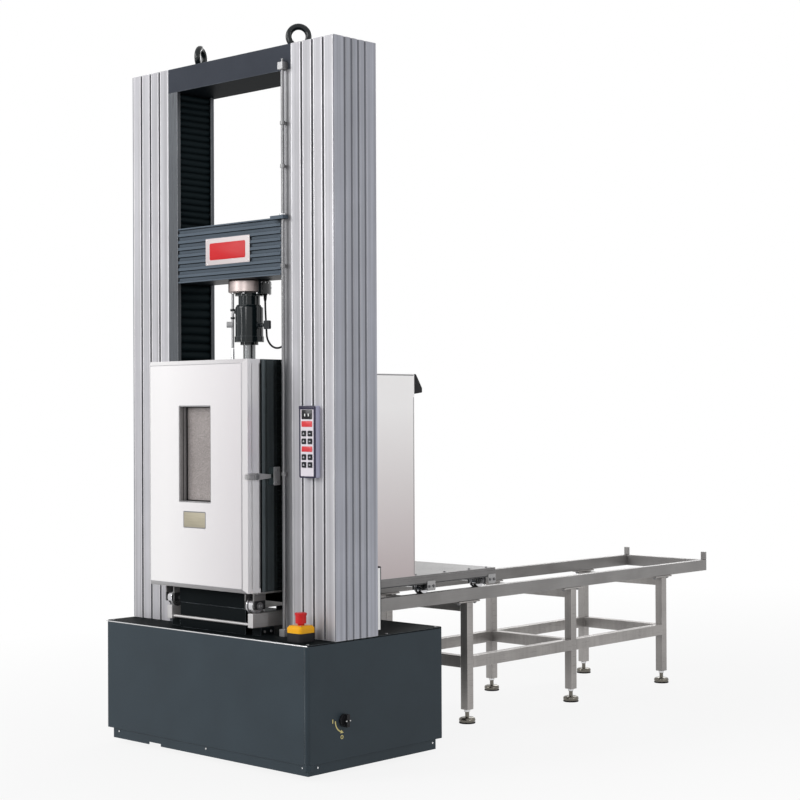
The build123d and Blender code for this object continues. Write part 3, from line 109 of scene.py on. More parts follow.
ahead = Vector((-math.sin(YAW) * math.cos(PITCH), math.cos(YAW) * math.cos(PITCH), math.sin(PITCH)))
level = Vector((math.cos(YAW), math.sin(YAW), 0))
above = level.cross(ahead)
right = math.cos(ROLL) * level + math.sin(ROLL) * above
up = -math.sin(ROLL) * level + math.cos(ROLL) * above
lens = bpy.data.cameras.new("camera")
lens.lens = LENS
lens.sensor_width = SENSOR
lens.clip_end = 100
camera = bpy.data.objects.new("camera", lens)
camera.matrix_world = Matrix.Translation(CAMERA_AT) @ Matrix((right, up, -ahead)).transposed().to_4x4()
SCENE.collection.objects.link(camera)
SCENE.camera = camera
SCENE.view_settings.view_transform = "Standard"

# Signal lead, from the underside of the load cell to the underside of the crosshead.
LEAD_D = 0.007
LEAD_ROUTE = [
    (53, 27, 0), (53, 27, -42), (54.5, 28, -86), (56, 29.5, -127), (57.5, 31, -164),
    (86, 34, -193), (126, 37, -193), (155, 40, -164), (157, 41, -123), (158, 42, -81),
    (158.5, 42.5, -38), (157.5, 42, 5), (157.5, 42, 45),
]
curve = bpy.data.curves.new("lead_jacket_tube", "CURVE")
curve.dimensions = "3D"
curve.bevel_depth = 1.0  # times each point's radius
curve.bevel_resolution = 4
curve.resolution_u = 10
curve.use_fill_caps = True
spline = curve.splines.new("NURBS")
spline.points.add(len(LEAD_ROUTE) - 1)
for point, (x, y, z) in zip(spline.points, LEAD_ROUTE):
    point.co = (*at(x, y, CELL_Z + z), 1)
    point.radius = LEAD_D / 2
spline.order_u = 3
spline.use_endpoint_u = True
lead = bpy.data.objects.new("load_cell_lead", curve)
SCENE.collection.objects.link(lead)
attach(lead, "crosshead")
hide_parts("signal_lead")


# Materials. Every finish has slow patches of tone, a fine grain that drives tone, gloss and bump,
# edges lightened as wear and as painted highlight and, where the form has grooves, painted shade
# that gathers in them.
UPRIGHT = (1, 1, 0.012)
LENGTHWAYS = (1, 0.012, 1)
SLOW_DETAIL, FINE_DETAIL = 4.0, 3.0
STREAK_SCALE, STREAK_DETAIL = 55.0, 2.0
BUMP_DEPTH = 0.0002
GROOVE_SHADE_REACH = 0.025
LOOKS = {}


def node(tree, kind, values=None, links=None, **settings):
    """A shader node with its settings, plain values and links."""
    made = tree.nodes.new(kind)
    for key, value in settings.items():
        setattr(made, key, value)
    for key, value in (values or {}).items():
        made.inputs[key].default_value = value
    for key, source in (links or {}).items():
        tree.links.new(source, made.inputs[key])
    return made


def remap(tree, source, low, high, start=0.3, stop=0.7):
    made = node(tree, "ShaderNodeMapRange", links={"Value": source},
                values={"From Min": start, "From Max": stop, "To Min": low, "To Max": high})
    return made.outputs["Result"]


def product(tree, one, other):
    return node(tree, "ShaderNodeMath", operation="MULTIPLY", links={0: one, 1: other}).outputs["Value"]


def larger(tree, one, other):
    return node(tree, "ShaderNodeMath", operation="MAXIMUM", links={0: one, 1: other}).outputs["Value"]


def vector(tree, operation, output, values=None, links=None):
    return node(tree, "ShaderNodeVectorMath", values, links, operation=operation).outputs[output]


def noise(tree, where, scale, detail):
    made = node(tree, "ShaderNodeTexNoise", {"Scale": scale, "Detail": detail}, {"Vector": where})
    return made.outputs["Fac"]


def stretched(tree, where, scale):
    return node(tree, "ShaderNodeMapping", {"Scale": scale}, {"Vector": where}).outputs["Vector"]


def toned(tree, colour, tone):
    """A plain colour, made darker or lighter by a tone."""
    return vector(tree, "SCALE", "Vector", {0: colour}, {"Scale": tone})


def mixed(tree, factor, one, other):
    """Fades one linked colour to another."""
    made = node(tree, "ShaderNodeMixRGB", links={"Fac": factor, "Color1": one, "Color2": other})
    return made.outputs["Color"]


def faded(tree, factor, colour, other):
    """Fades a linked colour to a plain one."""
    made = node(tree, "ShaderNodeMixRGB", {"Color2": (*other, 1)}, {"Fac": factor, "Color1": colour})
    return made.outputs["Color"]


def beyond(tree, where, centre, mask, start, stop):
    """0 near a centre and 1 past it, with the distance taken along the axes of the mask."""
    offset = vector(tree, "SUBTRACT", "Vector", {1: centre}, {0: where})
    kept = vector(tree, "MULTIPLY", "Vector", {1: mask}, {0: offset})
    return remap(tree, vector(tree, "LENGTH", "Value", links={0: kept}), 0.0, 1.0, start, stop)


def turned_to(tree, axis, both_ways):
    """1 on faces that look along an axis and 0 on the others."""
    true = node(tree, "ShaderNodeNewGeometry").outputs["Normal"]
    along = vector(tree, "DOT_PRODUCT", "Value", {1: axis}, {0: true})
    if both_ways:
        along = node(tree, "ShaderNodeMath", links={0: along}, operation="ABSOLUTE").outputs["Value"]
    return remap(tree, along, 0.0, 1.0, 0.6, 0.9)


def worn_and_lit_edge(tree, width):
    """1 along sharp edges and 0 on flat faces."""
    soft = node(tree, "ShaderNodeBevel", {"Radius": width}, samples=4).outputs["Normal"]
    true = node(tree, "ShaderNodeNewGeometry").outputs["Normal"]
    flatness = vector(tree, "DOT_PRODUCT", "Value", links={0: soft, 1: true})
    return remap(tree, flatness, 1.0, 0.0, 0.80, 0.985)


def finish(key, name, colour, rough, metal=0.0, spec=0.25, shade=0.08, patch=5.0, grain=(1, 1, 1),
           fine=400.0, fleck=0.06, gloss_span=0.08, bump=0.15, wear_and_glint=None, wear_and_glint_width=0.0015, groove_shade=0.0,
           coat=0.0, second=None, facing_light_and_shade=None, streak=0.0):
    """Makes a material and keeps it in LOOKS.

    second is another colour with the place past which it starts, a real second colour on some nodes and
    painted light and shade on others; the facing colour, for the faces along an axis, is painted light
    and shade.
    """
    made = bpy.data.materials.new(name)
    made.use_nodes = True
    tree = made.node_tree
    shader = tree.nodes["Principled BSDF"]
    shader.inputs["Metallic"].default_value = metal
    shader.inputs["Specular IOR Level"].default_value = spec
    shader.inputs["Coat Weight"].default_value = coat
    where = node(tree, "ShaderNodeTexCoord").outputs["Object"]
    slow = noise(tree, where, patch, SLOW_DETAIL)
    quick = noise(tree, stretched(tree, where, grain), fine, FINE_DETAIL)
    tone = product(tree, remap(tree, slow, 1 - shade, 1 + shade), remap(tree, quick, 1 - fleck, 1 + fleck))
    if streak:
        lines = noise(tree, stretched(tree, where, UPRIGHT), STREAK_SCALE, STREAK_DETAIL)
        tone = product(tree, tone, remap(tree, lines, 1 - streak, 1 + streak, 0.35, 0.65))
    # Painted shade: darker where ambient occlusion finds the form closed in, as in grooves and pleats.
    if groove_shade:
        open_air = node(tree, "ShaderNodeAmbientOcclusion", {"Distance": GROOVE_SHADE_REACH}, samples=6,
                        only_local=True)
        tone = product(tree, tone, remap(tree, open_air.outputs["AO"], 1 - groove_shade, 1.0, 0.35, 0.9))
    tint = toned(tree, colour, tone)
    if second:
        other, *place = second
        tint = mixed(tree, beyond(tree, where, *place), tint, toned(tree, other, tone))
    # Painted light and shade: another colour on the faces that look along an axis.
    if facing_light_and_shade:
        other, axis, both_ways = facing_light_and_shade
        tint = mixed(tree, turned_to(tree, axis, both_ways), tint, toned(tree, other, tone))
    # Edges fade to a lighter colour, which stands for wear and for painted highlight.
    if wear_and_glint:
        worn_and_lit = product(tree, worn_and_lit_edge(tree, wear_and_glint_width), remap(tree, slow, 0.35, 1.0))
        tint = faded(tree, worn_and_lit, tint, wear_and_glint)
    tree.links.new(tint, shader.inputs["Base Color"])
    tree.links.new(remap(tree, quick, rough - gloss_span, rough + gloss_span), shader.inputs["Roughness"])
    raised = node(tree, "ShaderNodeBump", {"Strength": bump, "Distance": BUMP_DEPTH}, {"Height": quick})
    tree.links.new(raised.outputs["Normal"], shader.inputs["Normal"])
    LOOKS[key] = made


SHEET = {"patch": 1.3, "grain": UPRIGHT, "fine": 2600, "fleck": 0.004, "gloss_span": 0.012, "bump": 0.012}
BRUSHED = {"patch": 6.0, "grain": LENGTHWAYS, "fine": 900, "fleck": 0.07, "bump": 0.12, "wear_and_glint_width": 0.003}
DRAWN = {"grain": UPRIGHT, "fine": 500, "bump": 0.05}
EXTRUDED = {"grain": UPRIGHT, "fine": 700}

# One finish for each slot.
finish("slate_paint", "slate_coat", (0.029, 0.0425, 0.0535), 0.42, spec=0.2, fine=900, fleck=0.08, bump=0.2,
       wear_and_glint=srgb(98, 108, 118))
finish("black_paint", "black_coat", (0.0055, 0.0075, 0.0085), 0.6, spec=0.03, fine=900, fleck=0.10,
       bump=0.2, wear_and_glint=srgb(150, 158, 165), wear_and_glint_width=0.002)
# Painted shade in the grooves and on the darker, bluer side faces; painted highlights on the edges.
finish("anodised", "anodised_ridges", (0.44, 0.435, 0.46), 0.40, 0.1, spec=0.3, shade=0.05, **EXTRUDED,
       fleck=0.06, bump=0.12, wear_and_glint=srgb(240, 239, 244), wear_and_glint_width=0.004, groove_shade=0.85,
       facing_light_and_shade=((0.41, 0.42, 0.475), (1, 0, 0), True), streak=0.14)
finish("hardened_steel", "ground_steel", (0.56, 0.56, 0.575), 0.18, 0.95, **DRAWN, fleck=0.04,
       gloss_span=0.05)
finish("stainless", "door_stainless", (0.80, 0.785, 0.79), 0.26, 0.75, shade=0.02, **SHEET,
       wear_and_glint=srgb(247, 247, 247))
# Painted reflection: the faces along y are darker; the bright edges are painted highlights.
finish("bench_stainless", "bench_steel", (0.36, 0.343, 0.332), 0.34, 0.6, shade=0.14, **BRUSHED,
       wear_and_glint=srgb(214, 212, 208), facing_light_and_shade=((0.30, 0.287, 0.278), (0, 1, 0), True), streak=0.06)
finish("dark_stainless", "mirror_stainless", (0.125, 0.148, 0.153), 0.14, 0.9, shade=0.10, grain=UPRIGHT,
       fine=600, fleck=0.05, gloss_span=0.05, bump=0.06)
finish("black_steel", "blackened_steel", (0.008, 0.012, 0.014), 0.17, spec=0.35, fine=700, fleck=0.12,
       bump=0.08, gloss_span=0.05, wear_and_glint=srgb(104, 110, 116))
# Painted shade in the pleats.
finish("bellows_cloth", "bellows_weave", (0.0032, 0.0088, 0.0112), 0.66, spec=0.1, fine=1400, fleck=0.18,
       bump=0.5, gloss_span=0.12, wear_and_glint=srgb(34, 48, 53), wear_and_glint_width=0.0012, groove_shade=0.7)
finish("black_rubber", "rubber", srgb(26, 26, 28), 0.75, spec=0.15, fine=1200, fleck=0.15, bump=0.3)
finish("lead_jacket", "jacket", srgb(22, 22, 24), 0.5, spec=0.2, fine=900, fleck=0.10, bump=0.15)
finish("indigo_plastic", "indigo_shell", srgb(184, 184, 208), 0.42, fine=1500, fleck=0.06, bump=0.25,
       wear_and_glint=srgb(196, 196, 212))
finish("panel_film", "film", srgb(222, 216, 224), 0.40, spec=0.15, shade=0.02, fine=1500, fleck=0.02,
       bump=0.1)
finish("key_plastic", "key_caps", srgb(26, 26, 32), 0.45, spec=0.2, fine=1500, fleck=0.10, bump=0.25,
       wear_and_glint=srgb(90, 90, 100), wear_and_glint_width=0.0008)
finish("black_plastic", "moulded_black", srgb(24, 24, 27), 0.48, spec=0.2, fine=1500, fleck=0.12, bump=0.3,
       wear_and_glint=srgb(95, 95, 100), wear_and_glint_width=0.001)
finish("yellow_plastic", "moulded_yellow", srgb(240, 172, 14), 0.30, shade=0.05, fine=1500, fleck=0.04,
       bump=0.15, wear_and_glint=srgb(250, 208, 96))
finish("red_plastic", "moulded_red", srgb(200, 26, 30), 0.28, shade=0.05, fine=1500, fleck=0.05, bump=0.12,
       wear_and_glint=srgb(230, 96, 92))
finish("window_glass", "wired_glass", srgb(152, 145, 143), 0.24, shade=0.10, patch=9.0, fine=330,
       fleck=0.55, gloss_span=0.06, bump=0.25, coat=0.2)

# Nodes that look unlike the rest of their slot.
finish("load_cell", "cell_steel", (0.44, 0.375, 0.36), 0.40, 0.9, shade=0.10, patch=22.0,
       grain=(0.05, 0.05, 1), fine=900, fleck=0.08, bump=0.10, wear_and_glint=srgb(245, 242, 240), wear_and_glint_width=0.003)
finish("upper_coupling", "coupling_steel", (0.007, 0.012, 0.014), 0.11, spec=0.35, fine=700, fleck=0.12,
       bump=0.05, gloss_span=0.03, wear_and_glint=srgb(150, 156, 160),
       second=((0.50, 0.50, 0.51), (0, LOAD_Y, 0), (1, 1, 0), 0.0522, 0.0530))
finish("limit_rod", "drawn_rod", (0.20, 0.20, 0.205), 0.30, 0.6, shade=0.10, **DRAWN, fleck=0.06,
       wear_and_glint=srgb(200, 200, 202))
finish("column_brackets", "bracket_steel", (0.26, 0.26, 0.265), 0.34, 0.6, shade=0.06, fine=900, fleck=0.06,
       bump=0.08, wear_and_glint=srgb(226, 226, 228),
       second=((0.74, 0.74, 0.745), at(0, -112, 0), (0, 1, 0), 0.15, 0.16))
# Painted shade: the flange is dark within 30 mm of z = 526 mm, under the deck's lip.
finish("trolley_deck", "deck_steel", (0.030, 0.031, 0.033), 0.34, 0.5, shade=0.14, **BRUSHED,
       wear_and_glint=srgb(190, 190, 188), second=((0.20, 0.195, 0.195), at(0, 0, 526), (0, 0, 1), 0.030, 0.032))
finish("bench_feet", "cast_feet", (0.16, 0.15, 0.13), 0.24, 0.85, shade=0.15, fine=700, fleck=0.12,
       bump=0.15, wear_and_glint=srgb(190, 188, 180), wear_and_glint_width=0.002)
# Painted shade: the undersides are darker.
finish("top_beam", "beam_paint", (0.054, 0.060, 0.074), 0.5, spec=0.01, fine=900, fleck=0.10, bump=0.2,
       wear_and_glint=srgb(150, 156, 164), wear_and_glint_width=0.003, facing_light_and_shade=((0.006, 0.008, 0.010), (0, 0, -1), False))
# Painted shade in the grooves and on the undersides.
finish("crosshead", "crosshead_paint", (0.102, 0.128, 0.158), 0.44, spec=0.06, fine=900, fleck=0.10,
       bump=0.25, wear_and_glint=srgb(120, 128, 140), groove_shade=0.6, facing_light_and_shade=((0.012, 0.016, 0.020), (0, 0, -1), False))
# Painted reflection: darker towards the bottom; painted shade: the top faces are darker.
finish("rear_unit", "unit_stainless", (0.94, 0.925, 0.925), 0.36, 0.5, shade=0.015, **SHEET,
       wear_and_glint=srgb(250, 250, 250), second=((0.56, 0.49, 0.495), at(0, 0, 1324), (0, 0, 1), 0.12, 0.74),
       facing_light_and_shade=((0.50, 0.49, 0.49), (0, 0, 1), False))
# Painted reflection: darker towards the right; painted light: the faces that look to the right are lighter.
finish("chamber_door", "door_stainless_sheet", (0.86, 0.845, 0.85), 0.26, 0.7, shade=0.015, **SHEET,
       wear_and_glint=srgb(247, 247, 247), second=((0.66, 0.635, 0.65), at(-253, 0, 0), (1, 0, 0), 0.1, 0.5),
       facing_light_and_shade=((0.92, 0.91, 0.915), (1, 0, 0), False))
# Painted shade: darker towards the rear, under the chamber.
finish("rails", "rail_steel", (0.52, 0.51, 0.51), 0.36, 0.5, shade=0.12, **BRUSHED,
       wear_and_glint=srgb(232, 230, 228), second=((0.27, 0.262, 0.258), at(0, -190, 0), (0, 1, 0), 0.15, 0.6))
finish("upper_pull_rod", "pull_rod_steel", (0.22, 0.225, 0.23), 0.20, 0.8, shade=0.08, **DRAWN, fleck=0.05,
       gloss_span=0.05)
# Painted light and shade: the strip on the right is lighter than the one on the left.
finish("column_strips", "strip_metal", (0.085, 0.092, 0.102), 0.32, 0.3, **EXTRUDED, fleck=0.06, bump=0.10,
       wear_and_glint=srgb(190, 192, 198), wear_and_glint_width=0.004,
       second=((0.25, 0.25, 0.262), at(-295, 0, 0), (1, 0, 0), 0.2, 0.3))

# Finishes of the details.
finish("mid_steel", "mid_steel", (0.37, 0.367, 0.37), 0.32, 0.6, shade=0.10, fine=900, fleck=0.08,
       bump=0.10, wear_and_glint=srgb(215, 215, 216), wear_and_glint_width=0.002)
# Painted highlight along the ridges of the columns.
finish("painted_ridge_highlight", "painted_ridge_highlight", (0.62, 0.615, 0.635), 0.30, 0.2, shade=0.05, **EXTRUDED,
       fleck=0.05, bump=0.08)
# Painted shadow in the columns' corners and flutes.
finish("groove_shadow", "painted_groove_shadow", (0.19, 0.196, 0.225), 0.5, spec=0.15, shade=0.10, **EXTRUDED,
       fleck=0.10, bump=0.10)
finish("pale_plate", "pale_plate", srgb(206, 196, 196), 0.46, 0.1, shade=0.04, grain=(0.02, 1, 1), fine=900,
       fleck=0.05, bump=0.10, wear_and_glint=srgb(240, 240, 242))
finish("sand_plate", "sand_plate", srgb(164, 157, 138), 0.40, 0.2, shade=0.08, grain=(0.02, 1, 1), fine=900,
       fleck=0.08, bump=0.10, wear_and_glint=srgb(226, 220, 200))
finish("bright_steel", "bright_steel", (0.66, 0.66, 0.67), 0.24, 0.9, fine=900, fleck=0.05, bump=0.08)
finish("red_enamel", "red_enamel", srgb(200, 30, 36), 0.38, spec=0.2, shade=0.05, fine=1500, fleck=0.05,
       bump=0.1, wear_and_glint=srgb(228, 120, 116))
finish("dull_steel", "dull_steel", (0.20, 0.20, 0.205), 0.36, 0.8, fine=900, fleck=0.10, bump=0.12,
       wear_and_glint=srgb(170, 170, 172))
finish("display_black", "display_black", srgb(20, 18, 23), 0.16, shade=0.10, fine=700, fleck=0.10,
       bump=0.03)
finish("display_red", "display_red", srgb(206, 54, 62), 0.22, shade=0.10, fine=700, fleck=0.08, bump=0.04)
finish("bezel", "bezel", srgb(40, 36, 58), 0.38, fine=1500, fleck=0.08, bump=0.2, wear_and_glint=srgb(104, 100, 128))
finish("white_mark", "white_mark", srgb(232, 232, 230), 0.5, shade=0.04, fine=1500, fleck=0.05, bump=0.1)
finish("grey_mark", "grey_mark", srgb(176, 176, 182), 0.5, spec=0.1, shade=0.06, fine=1500, fleck=0.08,
       bump=0.1)
finish("yellow_mark", "yellow_mark", srgb(222, 208, 140), 0.5, shade=0.06, fine=1500, fleck=0.06, bump=0.1)

curve.materials.append(LOOKS["lead_jacket"])


# World, floor and lamps.
def seen_rays(tree):
    """1 for rays that are seen, directly, in a gloss or through glass, and 0 for those that only light."""
    rays = node(tree, "ShaderNodeLightPath").outputs
    seen = larger(tree, rays["Is Camera Ray"], rays["Is Glossy Ray"])
    return larger(tree, seen, rays["Is Transmission Ray"])


AMBIENT = 0.38
world = bpy.data.worlds.new("studio")
SCENE.world = world
world.use_nodes = True
sky = world.node_tree
background = sky.nodes["Background"]
background.inputs["Color"].default_value = (1, 1, 1, 1)
sky.links.new(remap(sky, seen_rays(sky), AMBIENT, 1.0, 0.0, 1.0), background.inputs["Strength"])

FLOOR_HALF = 30.0
FLOOR_GREY, FLOOR_ROUGH, FLOOR_GLOW = 0.55, 0.9, 0.88
FADE_FROM, FADE_TO = 0.9, 3.2
FADE_SQUEEZE = (1.0, 0.55, 1.0)
floor_mesh = bpy.data.meshes.new("floor")
floor_corners = [(FLOOR_HALF * sx, FLOOR_HALF * sy, 0) for sx, sy in ((-1, -1), (1, -1), (1, 1), (-1, 1))]
floor_mesh.from_pydata(floor_corners, [], [(0, 1, 2, 3)])
floor = bpy.data.objects.new("floor", floor_mesh)
SCENE.collection.objects.link(floor)
floor_paint = bpy.data.materials.new("floor_paint")
floor_paint.use_nodes = True
tree = floor_paint.node_tree
matte = tree.nodes["Principled BSDF"]
matte.inputs["Base Color"].default_value = (FLOOR_GREY, FLOOR_GREY, FLOOR_GREY, 1)
matte.inputs["Roughness"].default_value = FLOOR_ROUGH
glow = node(tree, "ShaderNodeEmission").outputs["Emission"]
spot = node(tree, "ShaderNodeTexCoord").outputs["Object"]
away = vector(tree, "LENGTH", "Value", links={0: stretched(tree, spot, FADE_SQUEEZE)})
share = product(tree, seen_rays(tree), remap(tree, away, FLOOR_GLOW, 1.0, FADE_FROM, FADE_TO))
blended = node(tree, "ShaderNodeMixShader", links={0: share, 1: matte.outputs["BSDF"], 2: glow})
tree.links.new(blended.outputs["Shader"], tree.nodes["Material Output"].inputs["Surface"])
floor_mesh.materials.append(floor_paint)


def lamp(name, place, target, size, watts):
    """A round lamp, which only lights and isn't seen."""
    made = bpy.data.lights.new(name, "AREA")
    made.shape = "DISK"
    made.size = size
    made.energy = watts
    obj = bpy.data.objects.new(name, made)
    aim = (Vector(target) - Vector(place)).to_track_quat("-Z", "Y")
    obj.matrix_world = Matrix.Translation(place) @ aim.to_matrix().to_4x4()
    obj.visible_camera = False
    SCENE.collection.objects.link(obj)
    return made


STRIP_W, STRIP_H = 0.12, 2.6


def strip_lamp(name, place, watts):
    """A tall narrow lamp that draws an upright highlight on rods and turned parts."""
    made = lamp(name, place, (0, LOAD_Y, place[2]), STRIP_W, watts)
    made.shape = "RECTANGLE"
    made.size_y = STRIP_H


lamp("key", (-3.4, -7.2, 4.4), (0, -1.1, 1.1), 4.5, 280)
lamp("fill", (2.2, -7.4, 3.0), (0, -0.6, 1.0), 2.0, 80)
lamp("side", (6.4, 1.6, 3.6), (0, 0.0, 0.9), 4.0, 44)
lamp("rear", (-3.0, 6.0, 4.5), (0, 0.2, 0.9), 4.0, 160)
strip_lamp("strip_right", (5.2, -1.0, 1.5), 26)
strip_lamp("strip_left", (-1.6, -6.0, 1.5), 26)


# Dress the CAD nodes: a finish by node or slot, and a small rounded edge on every sharp corner.
PLAIN_EDGE = 0.6
EDGE = {
    "base_panels": 2.0, "base_top_cover": 1.5, "bench_frame": 2.0, "chamber_door": 2.5,
    "chamber_shell": 1.5, "column_left": 1.5, "column_right": 1.5, "column_strips": 1.5,
    "estop_base": 1.5, "estop_button": 1.5, "estop_cover": 1.5, "load_cell": 1.0, "pendant_case": 2.5,
    "rails": 2.0, "rear_hood": 2.0, "rear_unit": 2.0, "top_beam": 1.5, "trolley_deck": 1.5,
}
SHARP = math.radians(32)
FLAT = math.radians(0.6)
UNMERGED = ("chamber_door", "pendant_panel")  # faces with openings, which stay as they are
STANDS_FOR = {"door_latch": "mid_steel", "lower_pull_rod": "upper_pull_rod", "rail_blocks": "black_paint"}


def soften(obj, width):
    """Smooth shading, with flat faces joined and sharp edges rounded by that width in millimetres."""
    for polygon in obj.data.polygons:
        polygon.use_smooth = True
    weld = obj.modifiers.new("weld", "WELD")
    weld.merge_threshold = 1e-5
    if obj.name not in UNMERGED:
        flat = obj.modifiers.new("flat", "DECIMATE")
        flat.decimate_type = "DISSOLVE"
        flat.angle_limit = FLAT
    round_off = obj.modifiers.new("edge", "BEVEL")
    round_off.width = width * MM
    round_off.segments = 2
    round_off.limit_method = "ANGLE"
    round_off.angle_limit = SHARP
    round_off.use_clamp_overlap = True
    round_off.miter_outer = "MITER_ARC"
    shade = obj.modifiers.new("normals", "WEIGHTED_NORMAL")
    shade.keep_sharp = False
    shade.weight = 80


for name, obj in NODES.items():
    obj.data.materials.clear()
    obj.data.materials.append(LOOKS.get(STANDS_FOR.get(name, name)) or LOOKS[SLOT_OF[name]])
    soften(obj, EDGE.get(name, PLAIN_EDGE))


# Mesh helpers for the details, all in millimetres until they are placed.
def rings_to_faces(mesh, loops, caps=True):
    """Skins a row of loops of points, and closes its ends."""
    count = len(loops[0])
    for low, high in zip(loops, loops[1:]):
        for step in range(count):
            after = (step + 1) % count
            mesh.faces.new((low[step], low[after], high[after], high[step]))
    if caps:
        mesh.faces.new(list(reversed(loops[0])))
        mesh.faces.new(loops[-1])


def loop_at(mesh, place, outline, height):
    return [mesh.verts.new(place @ Vector((x, y, height))) for x, y in outline]


def revolve(mesh, place, rings, steps=24):
    """A turned form from (radius, height) rings, where a radius may be a function of the angle."""
    turns = [2 * math.pi * step / steps for step in range(steps)]
    loops = []
    for radius, height in rings:
        reach = radius if callable(radius) else lambda turn, plain=radius: plain
        outline = [(reach(turn) * math.cos(turn), reach(turn) * math.sin(turn)) for turn in turns]
        loops.append(loop_at(mesh, place, outline, height))
    rings_to_faces(mesh, loops)


def hexagon(flat):
    """Reach of a hexagon of that half width across flats, by angle."""
    sixth = math.pi / 3
    return lambda turn: flat / math.cos((turn + sixth / 2) % sixth - sixth / 2)


def rounded(width, height, radius, inset=0.0, steps=5):
    """Outline of a rounded rectangle, pulled in by inset."""
    radius = max(radius - inset, 0.01)
    far_x, far_y = width / 2 - inset - radius, height / 2 - inset - radius
    points = []
    for quarter, (sx, sy) in enumerate(((1, 1), (-1, 1), (-1, -1), (1, -1))):
        for step in range(steps + 1):
            turn = math.pi / 2 * (quarter + step / steps)
            points.append((sx * far_x + radius * math.cos(turn), sy * far_y + radius * math.sin(turn)))
    return points


def slab(mesh, place, width, height, radius, low, high, edge):
    """A plate with rounded corners and rounded rims."""
    steps = ((edge, low), (0, low + edge), (0, high - edge), (edge * 0.3, high - edge * 0.3), (edge, high))
    loops = [loop_at(mesh, place, rounded(width, height, radius, inset), z) for inset, z in steps]
    rings_to_faces(mesh, loops)


def border(mesh, place, width, height, radius, band, low, high):
    """A flat frame of that band, open in the middle."""
    crown = high + band * 0.12
    steps = ((0, low), (0, high), (band * 0.15, crown), (band * 0.85, crown), (band, high), (band, low))
    loops = [loop_at(mesh, place, rounded(width, height, radius, inset), z) for inset, z in steps]
    rings_to_faces(mesh, loops + loops[:1], caps=False)


def plate(mesh, place, outline, low, high):
    """An outline drawn up from one height to another."""
    rings_to_faces(mesh, [loop_at(mesh, place, outline, z) for z in (low, high)])


def swept(mesh, place, profile, turn):
    """A profile of (radius, height) points at one angle."""
    return [mesh.verts.new(place @ Vector((r * math.cos(turn), r * math.sin(turn), h))) for r, h in profile]


def arc_bar(mesh, place, profile, start, stop, steps):
    """Sweeps a profile of (radius, height) points from one angle to another, in degrees."""
    turns = [math.radians(start + (stop - start) * step / steps) for step in range(steps + 1)]
    rings_to_faces(mesh, [swept(mesh, place, profile, turn) for turn in turns])


def ring(mesh, place, profile, steps=48):
    """Turns a closed profile of (radius, height) points all the way round."""
    loops = [swept(mesh, place, profile, 2 * math.pi * step / steps) for step in range(steps)]
    rings_to_faces(mesh, loops + loops[:1], caps=False)


def round_bar(mesh, place, width, height, corner, radius, sides=10):
    """A round bead that runs along a rounded rectangle."""
    loops = []
    for side in range(sides):
        turn = 2 * math.pi * side / sides
        outline = rounded(width, height, corner, -radius * math.cos(turn))
        loops.append(loop_at(mesh, place, outline, radius * math.sin(turn)))
    rings_to_faces(mesh, loops + loops[:1], caps=False)


def cap_screw(mesh, place, radius, height):
    socket = hexagon(radius * 0.5)
    revolve(mesh, place, [(radius, 0), (radius, height * 0.82), (radius * 0.9, height),
                          (radius * 0.58, height), (socket, height * 0.94), (socket, height * 0.45)])


def hex_bolt(mesh, place, flat, height):
    outside = hexagon(flat)
    revolve(mesh, place, [(flat * 1.45, 0), (flat * 1.45, height * 0.2), (outside, height * 0.2),
                          (outside, height * 0.85), (flat * 0.94, height), (flat * 0.5, height),
                          (flat * 0.5, height * 1.3), (flat * 0.4, height * 1.4)])


def flat_screw(mesh, place, radius, height):
    revolve(mesh, place, [(radius, 0), (radius * 0.96, height * 0.6), (radius * 0.7, height),
                          (hexagon(radius * 0.42), height), (hexagon(radius * 0.40), height * 0.3)])


def piece(name, mesh, look, body, sharp=35):
    """A finished detail with the material of its look, on a body when one is given."""
    bmesh.ops.remove_doubles(mesh, verts=mesh.verts, dist=1e-7)
    bmesh.ops.recalc_face_normals(mesh, faces=mesh.faces)
    data = bpy.data.meshes.new(name)
    mesh.to_mesh(data)
    mesh.free()
    for polygon in data.polygons:
        polygon.use_smooth = True
    data.set_sharp_from_angle(angle=math.radians(sharp))
    data.materials.append(LOOKS[look])
    obj = bpy.data.objects.new(name, data)
    SCENE.collection.objects.link(obj)
    if body:
        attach(obj, body)
    return obj


def scatter(name, maker, places, sizes, look, body, sharp=35):
    """One piece of many like forms."""
    mesh = bmesh.new()
    for place in places:
        maker(mesh, place, *sizes)
    return piece(name, mesh, look, body, sharp)


def single(name, maker, place, sizes, look, body):
    return scatter(name, maker, [place], sizes, look, body)


def fasteners(name, maker, places, sizes, body, look="dull_steel"):
    return scatter(name, maker, places, sizes, look, body)


def round_the_axis(face, radius, turns, z):
    """Places on a circle round the load axis, at angles in degrees."""
    angles = [math.radians(turn) for turn in turns]
    return [on(face, radius * math.cos(angle), radius * math.sin(angle), z) for angle in angles]


# Bellows: pleated cloth that stretches between the crosshead and the ends of the columns.
FOLD_STEPS = 6
FOLD_IN, FOLD_OUT = 276.3, 285.0
CLOTH_T = 1.4
CLOTH_FRONT, CLOTH_REAR, CLOTH_END = -92.6, 67.6, 13.0
CLOTH_ACROSS = (0.0, 0.25, 0.55, 1.0)
LOWER_CLOTH, LOWER_FOLD = (439.4, 1647.6), 30.0
UPPER_CLOTH, UPPER_FOLD = (1842.4, 2332.6), 23.0


